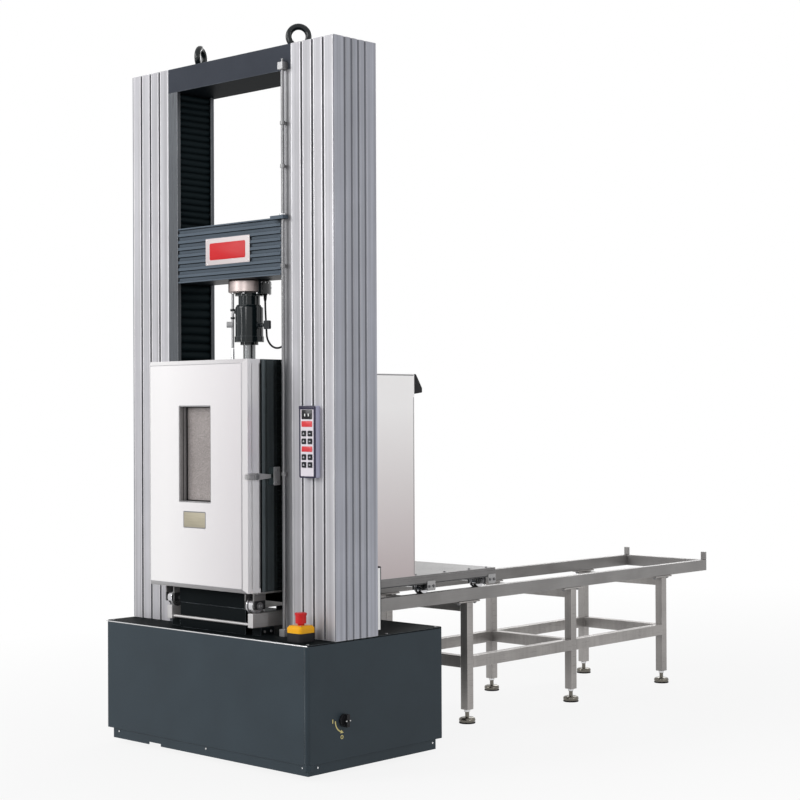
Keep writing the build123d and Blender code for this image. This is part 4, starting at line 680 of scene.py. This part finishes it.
def across():
    """Stations across the cloth, closer at its rounded ends, with how proud a pleat stands there."""
    ends = [(part * CLOTH_END, math.sqrt(max(0.0, 1 - (1 - part) ** 2))) for part in CLOTH_ACROSS]
    flat = CLOTH_REAR - CLOTH_FRONT - 2 * CLOTH_END
    stations = [(CLOTH_FRONT + step, proud) for step, proud in ends]
    stations += [(CLOTH_FRONT + CLOTH_END + part * flat, 1.0) for part in (0.25, 0.5, 0.75)]
    return stations + [(CLOTH_REAR - step, proud) for step, proud in reversed(ends)]


def bellows(name, low, high, fold):
    """Both cloths of one height, as thin closed sheets with pleats."""
    mesh = bmesh.new()
    folds = round((high - low) / fold)
    rows = folds * FOLD_STEPS
    for hand in HANDS:
        loops = []
        for row in range(rows + 1):
            z = low + (high - low) * row / rows
            swell = abs(math.sin(math.pi * folds * row / rows)) ** 0.7
            shown, hidden = [], []
            for y, proud in across():
                x = FOLD_OUT - (FOLD_OUT - FOLD_IN) * swell * proud
                shown.append(mesh.verts.new(at(hand * x, y, z)))
                hidden.append(mesh.verts.new(at(hand * (x + CLOTH_T), y, z)))
            loops.append(shown + hidden[::-1])
        rings_to_faces(mesh, loops)
    return piece(name, mesh, "bellows_cloth", None, sharp=80)


lower = bellows("bellows_folds_lower", *LOWER_CLOTH, LOWER_FOLD)
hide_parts("lower_bellows")
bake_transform(lower)
upper = bellows("bellows_folds_upper", *UPPER_CLOTH, UPPER_FOLD)
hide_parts("upper_bellows")
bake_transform(upper)

# Crosshead: a bare badge plate with a plain field and rivets, and the stop lug's plate and screws.
HEAD_FRONT = -99
BADGE_Z, BADGE_W, BADGE_H, BADGE_T = 1748, 230, 93, 2.2
LUG_Z, LUG_PLATE_T = 1845, 2.4
single("crosshead_badge", slab, on("front", 0, HEAD_FRONT, BADGE_Z), (BADGE_W, BADGE_H, 3, 0, BADGE_T, 0.8),
       "pale_plate", "crosshead")
single("crosshead_badge_field", slab, on("front", 0, HEAD_FRONT - BADGE_T, BADGE_Z),
       (BADGE_W - 44, BADGE_H - 34, 6, -0.2, 0.7, 0.3), "red_enamel", "crosshead")
fasteners("crosshead_badge_rivets", flat_screw,
          [on("front", sx * 108, HEAD_FRONT - BADGE_T, BADGE_Z + sz * 39.5)
           for sx in HANDS for sz in HANDS], (3.0, 1.2), "crosshead", "bright_steel")
fasteners("crosshead_lug_screws", cap_screw,
          [on("up", x, y, LUG_Z + LUG_PLATE_T) for x, y in ((273, -93), (284, -105))], (3.6, 4),
          "crosshead")
mesh = bmesh.new()
ring(mesh, on("up", 294, -112, LUG_Z), [(6.2, 0), (11.5, 0), (12, 0.8), (12, 4.2), (11.2, 5), (6.2, 5)], 32)
slab(mesh, on("up", 279, -99, LUG_Z), 22, 24, 3, 0, LUG_PLATE_T, 0.7)
piece("crosshead_lug_plate", mesh, "bright_steel", "crosshead")

# Load cell: the dark connector housing round its right side, bright screws, and the lead's glands.
HOUSING_IN, HOUSING_OUT, HOUSING_RIM = 72.6, 77.5, 1.2
HOUSING_LOW, HOUSING_HIGH = 1599, 1645
HOUSING_FROM, HOUSING_TO = -17, 67
HOUSING_SCREWS = ((-9, 1638), (4, 1638), (16, 1638), (38, 1622), (58, 1638))
GLAND = [(8.5, 0), (8.5, 5), (6.8, 7), (6.2, 9), (5.4, 20), (4.4, 26), (3.6, 27)]
single("cell_housing", arc_bar, on("up", 0, 0, 0),
       ([(HOUSING_IN, HOUSING_LOW), (HOUSING_OUT - HOUSING_RIM, HOUSING_LOW),
         (HOUSING_OUT, HOUSING_LOW + HOUSING_RIM), (HOUSING_OUT, HOUSING_HIGH - HOUSING_RIM),
         (HOUSING_OUT - HOUSING_RIM, HOUSING_HIGH), (HOUSING_IN, HOUSING_HIGH)],
        HOUSING_FROM, HOUSING_TO, 18),
       "black_steel", "crosshead")


def on_the_housing(turn, z):
    """A place on the housing's outer face, pointing outwards."""
    turn = math.radians(turn)
    place = at(HOUSING_OUT * math.cos(turn), HOUSING_OUT * math.sin(turn), z)
    outwards = Matrix.Rotation(turn, 4, "Z") @ Matrix.Rotation(math.pi / 2, 4, "Y")
    return Matrix.Translation(place) @ outwards @ Matrix.Scale(MM, 4)


fasteners("cell_housing_screws", cap_screw, [on_the_housing(*spot) for spot in HOUSING_SCREWS], (2.6, 2.0),
          "crosshead", "bright_steel")
fasteners("cell_rim_screws", cap_screw, round_the_axis("down", 62, range(75, 346, 45), CELL_Z), (4, 4),
          "crosshead", "bright_steel")
scatter("lead_glands", revolve,
        [on("down", x, y, CELL_Z + z) for x, y, z in (LEAD_ROUTE[0], LEAD_ROUTE[-1])],
        (GLAND,), "black_rubber", "crosshead")

# Upper coupling: a ring of cap screws, collars on the probe rod and the roof sleeve that the rod dips into.
PROBE = (-42.4, -39.6)
fasteners("coupling_screws", cap_screw, round_the_axis("up", 44, range(-150, 31, 45), 1552), (3.4, 3.4),
          "crosshead")
single("probe_sleeve", ring, on("up", *PROBE, ROOF_Z),
       ([(5.5, 0), (12, 0), (12, 2.5), (6.3, 4), (6.1, 45), (5.9, 46), (5.5, 46)], 24),
       "bright_steel", "chamber")
mesh = bmesh.new()
ring(mesh, on("up", *PROBE, 1520), [(4.8, -7), (7.2, -7), (7.6, -6), (7.6, 0), (7.2, 1), (4.8, 1)], 24)
ring(mesh, on("up", *PROBE, 1545), [(4.8, -4), (8.2, -4), (8.6, -3), (8.6, 3), (8.2, 4), (4.8, 4)], 24)
piece("probe_collars", mesh, "black_steel", "crosshead")

# Chamber roof: the ring round the rod's opening.
single("roof_ring", ring, on("up", 0, 0, ROOF_Z),
       ([(30.5, 0), (44, 0), (44, 2), (43, 3), (31.5, 3), (30.5, 2)],),
       "bright_steel", "chamber")
fasteners("roof_ring_screws", flat_screw, round_the_axis("up", 38, range(20, 380, 60), ROOF_Z + 3),
          (2.8, 1.4), "chamber")

# Door: seal, seams, window surround and bare plate.
DOOR_FRONT, DOOR_BACK, DOOR_MID = -251, -177, 975.5
DOOR_W, DOOR_H, DOOR_BEVEL = 506, 777, 14
WINDOW_MID, WINDOW_W, WINDOW_H, GLASS_Y = 1045.5, 162, 325, -217
PLATE_X, PLATE_Z = -2, 822
FLAT_W, FLAT_H = DOOR_W - 2 * DOOR_BEVEL, DOOR_H - 2 * DOOR_BEVEL
on_window = on("front", 0, GLASS_Y, WINDOW_MID)
on_plate = on("front", PLATE_X, DOOR_FRONT, PLATE_Z)
single("door_seal", round_bar, on("front", 0, DOOR_BACK, DOOR_MID), (482, 753, 12, 3.9),
       "black_rubber", "door")
single("door_seam", border, on("front", 0, DOOR_FRONT, DOOR_MID), (FLAT_W, FLAT_H, 1.0, 1.6, -0.4, 0.05),
       "dull_steel", "door")
single("window_lip", border, on("front", 0, DOOR_FRONT, WINDOW_MID),
       (WINDOW_W + 5, WINDOW_H + 5, 4, 2.5, -0.5, 0.0), "dull_steel", "door")
single("window_liner", border, on_window, (WINDOW_W - 0.3, WINDOW_H - 0.3, 2, 1.4, 0, 32),
       "mid_steel", "door")
single("window_bead", border, on("front", 0, GLASS_Y - 17, WINDOW_MID),
       (WINDOW_W - 2, WINDOW_H - 2, 2, 1.6, 0, 1.6), "black_rubber", "door")
single("door_edge_line", slab, on("front", DOOR_W / 2 - DOOR_BEVEL, DOOR_FRONT, DOOR_MID),
       (3.4, FLAT_H, 1, -0.6, 0.2, 0.1), "dull_steel", "door")
single("window_seal", border, on_window, (WINDOW_W - 3.2, WINDOW_H - 3.2, 3, 3, 0, 3),
       "black_rubber", "door")
single("door_plate", slab, on_plate, (114, 54, 4, -0.4, 0.2, 0.1), "sand_plate", "door")
single("door_plate_rim", border, on_plate, (118, 58, 5, 4.5, -0.8, -0.26),
       "dull_steel", "door")

# Latch, its keeper on the chamber, and the hinges.
LATCH_X, LATCH_Z = 263, 973
KEEPER_X, KEEPER_Y, KEEPER_T = 263.3, -116, 2.2
HINGE_X = -259.3
HINGES = ((697, 777), (1174, 1254))
HINGE_ENDS = [(face, z) for low, high in HINGES for face, z in (("up", high), ("down", low))]
single("latch_pivot", revolve, on("right", LATCH_X, -205, LATCH_Z),
       ([(11, 0), (11, 1.5), (9.5, 2.5), (8, 3.8), (hexagon(4), 3.8), (hexagon(4), 2.2)],),
       "dull_steel", "latch")
single("latch_grip", slab, on("right", LATCH_X, -234, LATCH_Z), (28, 18, 6, 0, 2.4, 1.0),
       "mid_steel", "latch")
single("keeper_plate", slab, on("right", KEEPER_X, KEEPER_Y, LATCH_Z), (30, 62, 4, 0, KEEPER_T, 0.7),
       "mid_steel", "chamber")
fasteners("keeper_screws", cap_screw,
          [on("right", KEEPER_X + KEEPER_T, KEEPER_Y, LATCH_Z + hand * 20) for hand in HANDS],
          (4.2, 3.0), "chamber")
fasteners("hinge_caps", revolve, [on(face, HINGE_X, DOOR_BACK, z) for face, z in HINGE_ENDS],
          ([(5.6, 0), (5.6, 1.2), (4.4, 2.6), (2, 3.2)],), "chamber")
for number, y, wide, look in ((1, -219, 4, "mid_steel"), (2, -184, 6, "dull_steel")):
    single(f"door_side_seam_{number}", slab, on("right", DOOR_W / 2, y, DOOR_MID),
           (wide, FLAT_H, 1, -0.4, 0.4, 0.2), look, "door")

# Conditioning unit: dark lines along the roof and down the rear edge of both sides.
UNIT_LOW, UNIT_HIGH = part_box("rear_unit")
UNIT_SIDE, UNIT_BASE, UNIT_TOP = UNIT_HIGH.x / MM, UNIT_LOW.z / MM, UNIT_HIGH.z / MM
UNIT_FRONT, UNIT_REAR = (UNIT_LOW.y - LOAD_Y) / MM, (UNIT_HIGH.y - LOAD_Y) / MM
LINE_SHAPE = (1, -0.3, 0.3, 0.1)
mesh = bmesh.new()
for face, hand in SIDES:
    slab(mesh, on(face, hand * UNIT_SIDE, (UNIT_FRONT + UNIT_REAR) / 2, UNIT_TOP - 4.4),
         UNIT_REAR - UNIT_FRONT - 6, 4, *LINE_SHAPE)
    slab(mesh, on(face, hand * UNIT_SIDE, UNIT_REAR - 4, (UNIT_BASE + UNIT_TOP) / 2 - 40),
         2.6, UNIT_TOP - UNIT_BASE - 90, *LINE_SHAPE)
piece("unit_edge_lines", mesh, "dull_steel", "chamber")

# Dark sheets under the deck and between the rails, painted shade in the space under the chamber.
SHADE_SHEET_SHAPE = (4, 0, 2.5, 0.6)
for name, y, z, wide, tall, body in (("deck_skirt", 152, 545, 352, 72, "chamber"),
                                     ("deck_front_skirt", -174.5, 556.5, 340, 61, "chamber"),
                                     ("rail_guard", -172, 482, 340, 86, "machine_frame")):
    single(name, slab, on("front", 0, y, z), (wide, tall, *SHADE_SHEET_SHAPE), "black_paint", body)

# Trolley: axle nuts, deck bolts along the flanges, and fork plates with their bolts.
AXLE_X, AXLE_Z = 230.6, 539.2
AXLES = {"rollers_front": -165, "rollers_middle": 665, "rollers_rear": 979}
FORK_X, FORK_Z, FORK_T = 253, 545, 3
FORKS = (665, 1012)
for body, y in AXLES.items():
    fasteners("axle_nuts_" + body, hex_bolt,
              [on(face, hand * AXLE_X, y, AXLE_Z) for face, hand in SIDES], (9, 8), body)
fasteners("deck_bolts", cap_screw,
          [on("up", hand * 236, y, DECK_TOP) for hand in HANDS for y in (600, 760, 900, 1000)],
          (5, 4), "chamber")
scatter("fork_plates", slab, [on(face, hand * FORK_X, y, FORK_Z) for face, hand in SIDES for y in FORKS],
        (44, 36, 4, 0, FORK_T, 0.8), "mid_steel", "chamber")
fasteners("fork_bolts", hex_bolt,
          [on(face, hand * (FORK_X + FORK_T), y + step, FORK_Z - 2)
           for face, hand in SIDES for y in FORKS for step in (-12, 12)], (4.5, 4), "chamber")

# Bench: splice bolts under the rails, and lock nuts, treads and pucks on the feet.
LEGS = (915, 1563.5, 2212)
LEG_X = 210.5
FEET = [(hand * LEG_X, leg) for hand in HANDS for leg in LEGS]
fasteners("splice_bolts", hex_bolt,
          [on("down", x, leg + hand * 46, 460) for x, leg in FEET for hand in HANDS],
          (6.5, 6), "machine_frame")
mesh = bmesh.new()
for x, leg in FEET:
    ring(mesh, on("up", x, leg, 43),
         [(8.3, 0), (11.2, 0), (12.6, 1), (12.6, 7.6), (11.2, 8.6), (8.3, 8.6)], 6)
    ring(mesh, on("up", x, leg, 12), [(8.2, 0), (17, 0), (15, 4), (12, 7), (8.2, 8)], 32)
piece("foot_nuts", mesh, "bright_steel", "machine_frame")
scatter("foot_treads", ring, [on("up", x, leg, 0.2) for x, leg in FEET],
        ([(22, 0), (30.6, 0), (31.2, 1), (31.2, 4.4), (30.2, 5.6), (22, 5.6)],),
        "black_rubber", "machine_frame")
scatter("foot_pucks", ring, [on("up", x, leg, 7) for x, leg in FEET],
        ([(9, 0), (29, 0), (31, 2), (31.5, 6), (31, 10), (28.5, 13.5), (22, 16), (9, 17)],), "bench_feet",
        "machine_frame", sharp=50)

# Pendant: bezel, cap, displays with plain digits, and a plain mark on each key.
PENDANT_X, PENDANT_FRONT, PENDANT_TOP, PENDANT_MID = 418.5, -124, 1207, 1088.5
DISPLAY_T = 1.4
single("pendant_bezel", border, on("front", PENDANT_X, PENDANT_FRONT, PENDANT_MID),
       (74, 238, 6, 6.2, -4, 0.6), "bezel", "machine_frame")
single("pendant_cap", slab, on("front", PENDANT_X, PENDANT_FRONT + 4, 1201.4), (74.4, 12, 2.5, 0, 6.4, 1.5),
       "bezel", "machine_frame")
for name, drop, tall, look, slot in (("display_main", 28.5, 31, "display_black", "black_plastic"),
                                     ("display_upper", 59.5, 19, "display_red", "red_plastic"),
                                     ("display_lower", 142, 18, "display_red", "red_plastic")):
    single("pendant_" + name, slab, on("front", PENDANT_X, PENDANT_FRONT, PENDANT_TOP - drop),
           (50, tall, 2, 0, DISPLAY_T, 0.6), look, "machine_frame")
scatter("pendant_digits", slab,
        [on("front", PENDANT_X + x, PENDANT_FRONT - DISPLAY_T, PENDANT_TOP - 30) for x in (-9, 8)],
        (5, 9, 1.5, 0, 0.4, 0.15), "white_mark", "machine_frame")
for key in range(1, 9):
    low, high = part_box(f"pendant_key_{key}")
    middle = (low + high) / 2 / MM
    place = on("front", middle.x, (low.y - LOAD_Y) / MM, middle.z)
    mesh = bmesh.new()
    if key % 2:
        plate(mesh, place, [(-4.4, -2.6), (4.4, -2.6), (0, 4.2)], -0.2, 0.3)
    else:
        slab(mesh, place, 8, 3.4, 1.0, -0.2, 0.3, 0.1)
    piece(f"pendant_key_mark_{key}", mesh, "grey_mark", f"pendant_key_{key}")

# Emergency stop: cover screws.
STOP_X, STOP_Y, STOP_TOP, STOP_HALF = 434, -170, 493, 25
fasteners("stop_cover_screws", flat_screw,
          [on("up", STOP_X + sx * STOP_HALF, STOP_Y + sy * STOP_HALF, STOP_TOP)
           for sx in HANDS for sy in HANDS], (2.8, 1.4), "machine_frame")

# Switch: a plain arc with an arrow head and two end marks on the panel, and the pointer on the knob.
KNOB_X, KNOB_Y, KNOB_Z = 525, -66, 181
SIGN_R, SIGN_HALF, SIGN_T = 38, 2, 0.5
SIGN_FROM, SIGN_TO = 178, 250
ARROW_HALF, ARROW_LONG = 6, 13
on_knob = on("right", KNOB_X, KNOB_Y, KNOB_Z)
tip = math.radians(SIGN_TO)
outward = Vector((math.cos(tip), math.sin(tip)))
along = Vector((-math.sin(tip), math.cos(tip)))
arrow = [SIGN_R * outward - ARROW_HALF * outward, SIGN_R * outward + ARROW_LONG * along,
         SIGN_R * outward + ARROW_HALF * outward]
mesh = bmesh.new()
arc_bar(mesh, on_knob, [(SIGN_R - SIGN_HALF, 0), (SIGN_R + SIGN_HALF, 0), (SIGN_R + SIGN_HALF, SIGN_T),
                        (SIGN_R - SIGN_HALF, SIGN_T)], SIGN_FROM, SIGN_TO, 16)
plate(mesh, on_knob, arrow, 0, SIGN_T)
slab(mesh, on("right", KNOB_X, KNOB_Y - 50, KNOB_Z + 2), 4, 13, 1, 0, SIGN_T, 0.2)
ring(mesh, on("right", KNOB_X, KNOB_Y - 8, KNOB_Z - 54), [(4, 0), (6.6, 0), (6.6, SIGN_T), (4, SIGN_T)], 24)
piece("switch_sign", mesh, "yellow_mark", "machine_frame")
POINTER_T = 0.6
KNOB_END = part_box("switch_knob")[1].x / MM
single("switch_pointer", slab, on("right", KNOB_END - POINTER_T, KNOB_Y, KNOB_Z),
       (22, 4, 1.2, 0, POINTER_T, 0.2), "white_mark", "switch_knob")

# Columns: painted highlights along the ridges, and painted shade as dark lines at the outer front
# corners and as dark strips in the flutes.
COLUMN_IN, COLUMN_OUT, COLUMN_MID, COLUMN_TALL = 320, 525, 1429, 1976
GROOVES = (371.25, 422.5, 473.75)
GROOVE_HALF, MARGIN_W, MARGIN_INSET = 4, 4.5, 3.4
FLUTES = (-48, -16, 16, 48)
margins = [COLUMN_IN + MARGIN_INSET, COLUMN_OUT - MARGIN_INSET - 4]
for groove in GROOVES:
    margins += [groove - GROOVE_HALF - MARGIN_INSET, groove + GROOVE_HALF + MARGIN_INSET]
for face, y in (("front", COLUMN_FRONT), ("rear", COLUMN_REAR)):
    scatter("ridge_highlights_" + face, slab,
            [on(face, hand * x, y, COLUMN_MID) for hand in HANDS for x in margins],
            (MARGIN_W, COLUMN_TALL, 1, -0.2, 0.5, 0.2), "painted_ridge_highlight", "machine_frame")
scatter("corner_lines", slab,
        [on("front", hand * (COLUMN_OUT - 2.2), COLUMN_FRONT, COLUMN_MID) for hand in HANDS],
        (3.4, COLUMN_TALL, 1, -0.2, 0.4, 0.15), "groove_shadow", "machine_frame")
scatter("flute_strips", slab,
        [on(face, hand * (COLUMN_OUT - 3.4), y, COLUMN_MID) for face, hand in SIDES for y in FLUTES],
        (7.6, COLUMN_TALL, 1, -0.6, 1.2, 0.3), "groove_shadow", "machine_frame")

# Column feet: dark backing behind the rear plates.
BACKING_Y, BACKING_T = 110, 4
scatter("plate_backing", slab, [on("rear", hand * 474, BACKING_Y, 564) for hand in HANDS],
        (102, 212, 3, 0, BACKING_T, 0.8), "black_paint", "machine_frame")

# Lifting eyes: forged rings on collars, each screwed round to its own angle.
EYE_X, EYE_Z, EYE_R, EYE_BAR, EYE_FOOT = 256, 2466, 34, 11, 2419
EYE_TURNS = ((-1, 28), (1, -42))
EYE_COLLAR = [(25, 0), (25, 8), (23.5, 9.6), (20, 11), (15, 14), (12.5, 18), (11, 24)]
bar_turns = [math.pi * step / 8 for step in range(16)]
bar = [(EYE_R + EYE_BAR * math.cos(turn), EYE_BAR * math.sin(turn)) for turn in bar_turns]
mesh = bmesh.new()
for hand, turn in EYE_TURNS:
    upright = Matrix.Rotation(math.radians(turn), 4, "Z") @ Matrix.Rotation(math.pi / 2, 4, "Y")
    ring(mesh, Matrix.Translation(at(hand * EYE_X, 0, EYE_Z)) @ upright @ Matrix.Scale(MM, 4), bar, 64)
    revolve(mesh, on("up", hand * EYE_X, 0, EYE_FOOT), EYE_COLLAR, 48)
eyes = piece("lifting_eyes", mesh, SLOT_OF["eye_bolts"], "machine_frame", sharp=60)
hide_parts("eye_bolts")

# Kick plates round the foot of the base, deeper than the frame's own lip, with a notch in the front one.
KICK_LOW, KICK_HIGH, KICK_T = 19.5, 53.5, 3.0
KICK_LEFT, KICK_RIGHT, KICK_FRONT, KICK_REAR = -485, 517, -219, 386
NOTCH_LEFT, NOTCH_RIGHT, NOTCH_TOP = -288, -222, KICK_LOW + 9
KICK_SCREW_Y = (-180, 372)
low_left, low_right = KICK_LEFT - KICK_T, KICK_RIGHT + KICK_T


def kick_plate(mesh, place, start, stop):
    outline = [(start, KICK_LOW), (stop, KICK_LOW), (stop, KICK_HIGH), (start, KICK_HIGH)]
    plate(mesh, place, outline, 0, KICK_T)


mesh = bmesh.new()
plate(mesh, on("front", 0, KICK_FRONT, 0),
      [(low_left, KICK_LOW), (NOTCH_LEFT, KICK_LOW), (NOTCH_LEFT, NOTCH_TOP), (NOTCH_RIGHT, NOTCH_TOP),
       (NOTCH_RIGHT, KICK_LOW), (low_right, KICK_LOW), (low_right, KICK_HIGH), (low_left, KICK_HIGH)],
      0, KICK_T)
kick_plate(mesh, on("right", KICK_RIGHT, 0, 0), KICK_FRONT, KICK_REAR)
kick_plate(mesh, on("left", KICK_LEFT, 0, 0), -KICK_REAR, -KICK_FRONT)
kick_plate(mesh, on("rear", 0, KICK_REAR, 0), -low_right, -low_left)
piece("kick_plates", mesh, "slate_paint", "machine_frame")
fasteners("kick_screws", cap_screw,
          [on("front", x, KICK_FRONT - KICK_T, 45) for x in (-455, 21, 495)]
          + [on("right", low_right, y, 43) for y in KICK_SCREW_Y]
          + [on("left", low_left, y, 43) for y in KICK_SCREW_Y],
          (3.4, 2.2), "machine_frame", "bright_steel")

# Base: the bright front edge of the cover, the corner seam, and screws in the cover and the rear panel.
COVER_SCREWS = [(hand * 505, y) for hand in HANDS for y in (-207, 160, 406)] + [(-100, 406), (100, 406)]
single("cover_front_edge", slab, on("front", 0, BASE_FRONT, COVER_TOP - 3),
       (1046, 3.4, 1.2, -0.2, 0.9, 0.35), "bright_steel", "machine_frame")
single("base_corner_seam", slab, on("front", 509, BASE_FRONT, 244), (2.2, 372, 0.6, -0.3, 0.35, 0.1),
       "black_paint", "machine_frame")
fasteners("cover_screws", flat_screw, [on("up", x, y, COVER_TOP) for x, y in COVER_SCREWS], (5, 1.6),
          "machine_frame")
fasteners("rear_panel_screws", flat_screw,
          [on("rear", x, BASE_REAR, z) for x in (-480, -160, 160, 480) for z in (75, 412)], (4.5, 1.8),
          "machine_frame")

# Screws in the rear column plates and in the rail blocks.
fasteners("column_plate_screws", cap_screw,
          [on("rear", hand * x, BACKING_Y + BACKING_T, z)
           for hand in HANDS for x in (440, 508) for z in (482, 642)],
          (5, 4), "machine_frame", "bright_steel")
fasteners("rail_block_screws", cap_screw,
          [on(face, hand * 231, y, 452) for face, hand in SIDES for y in (-145, -115)],
          (4.5, 3.5), "machine_frame")
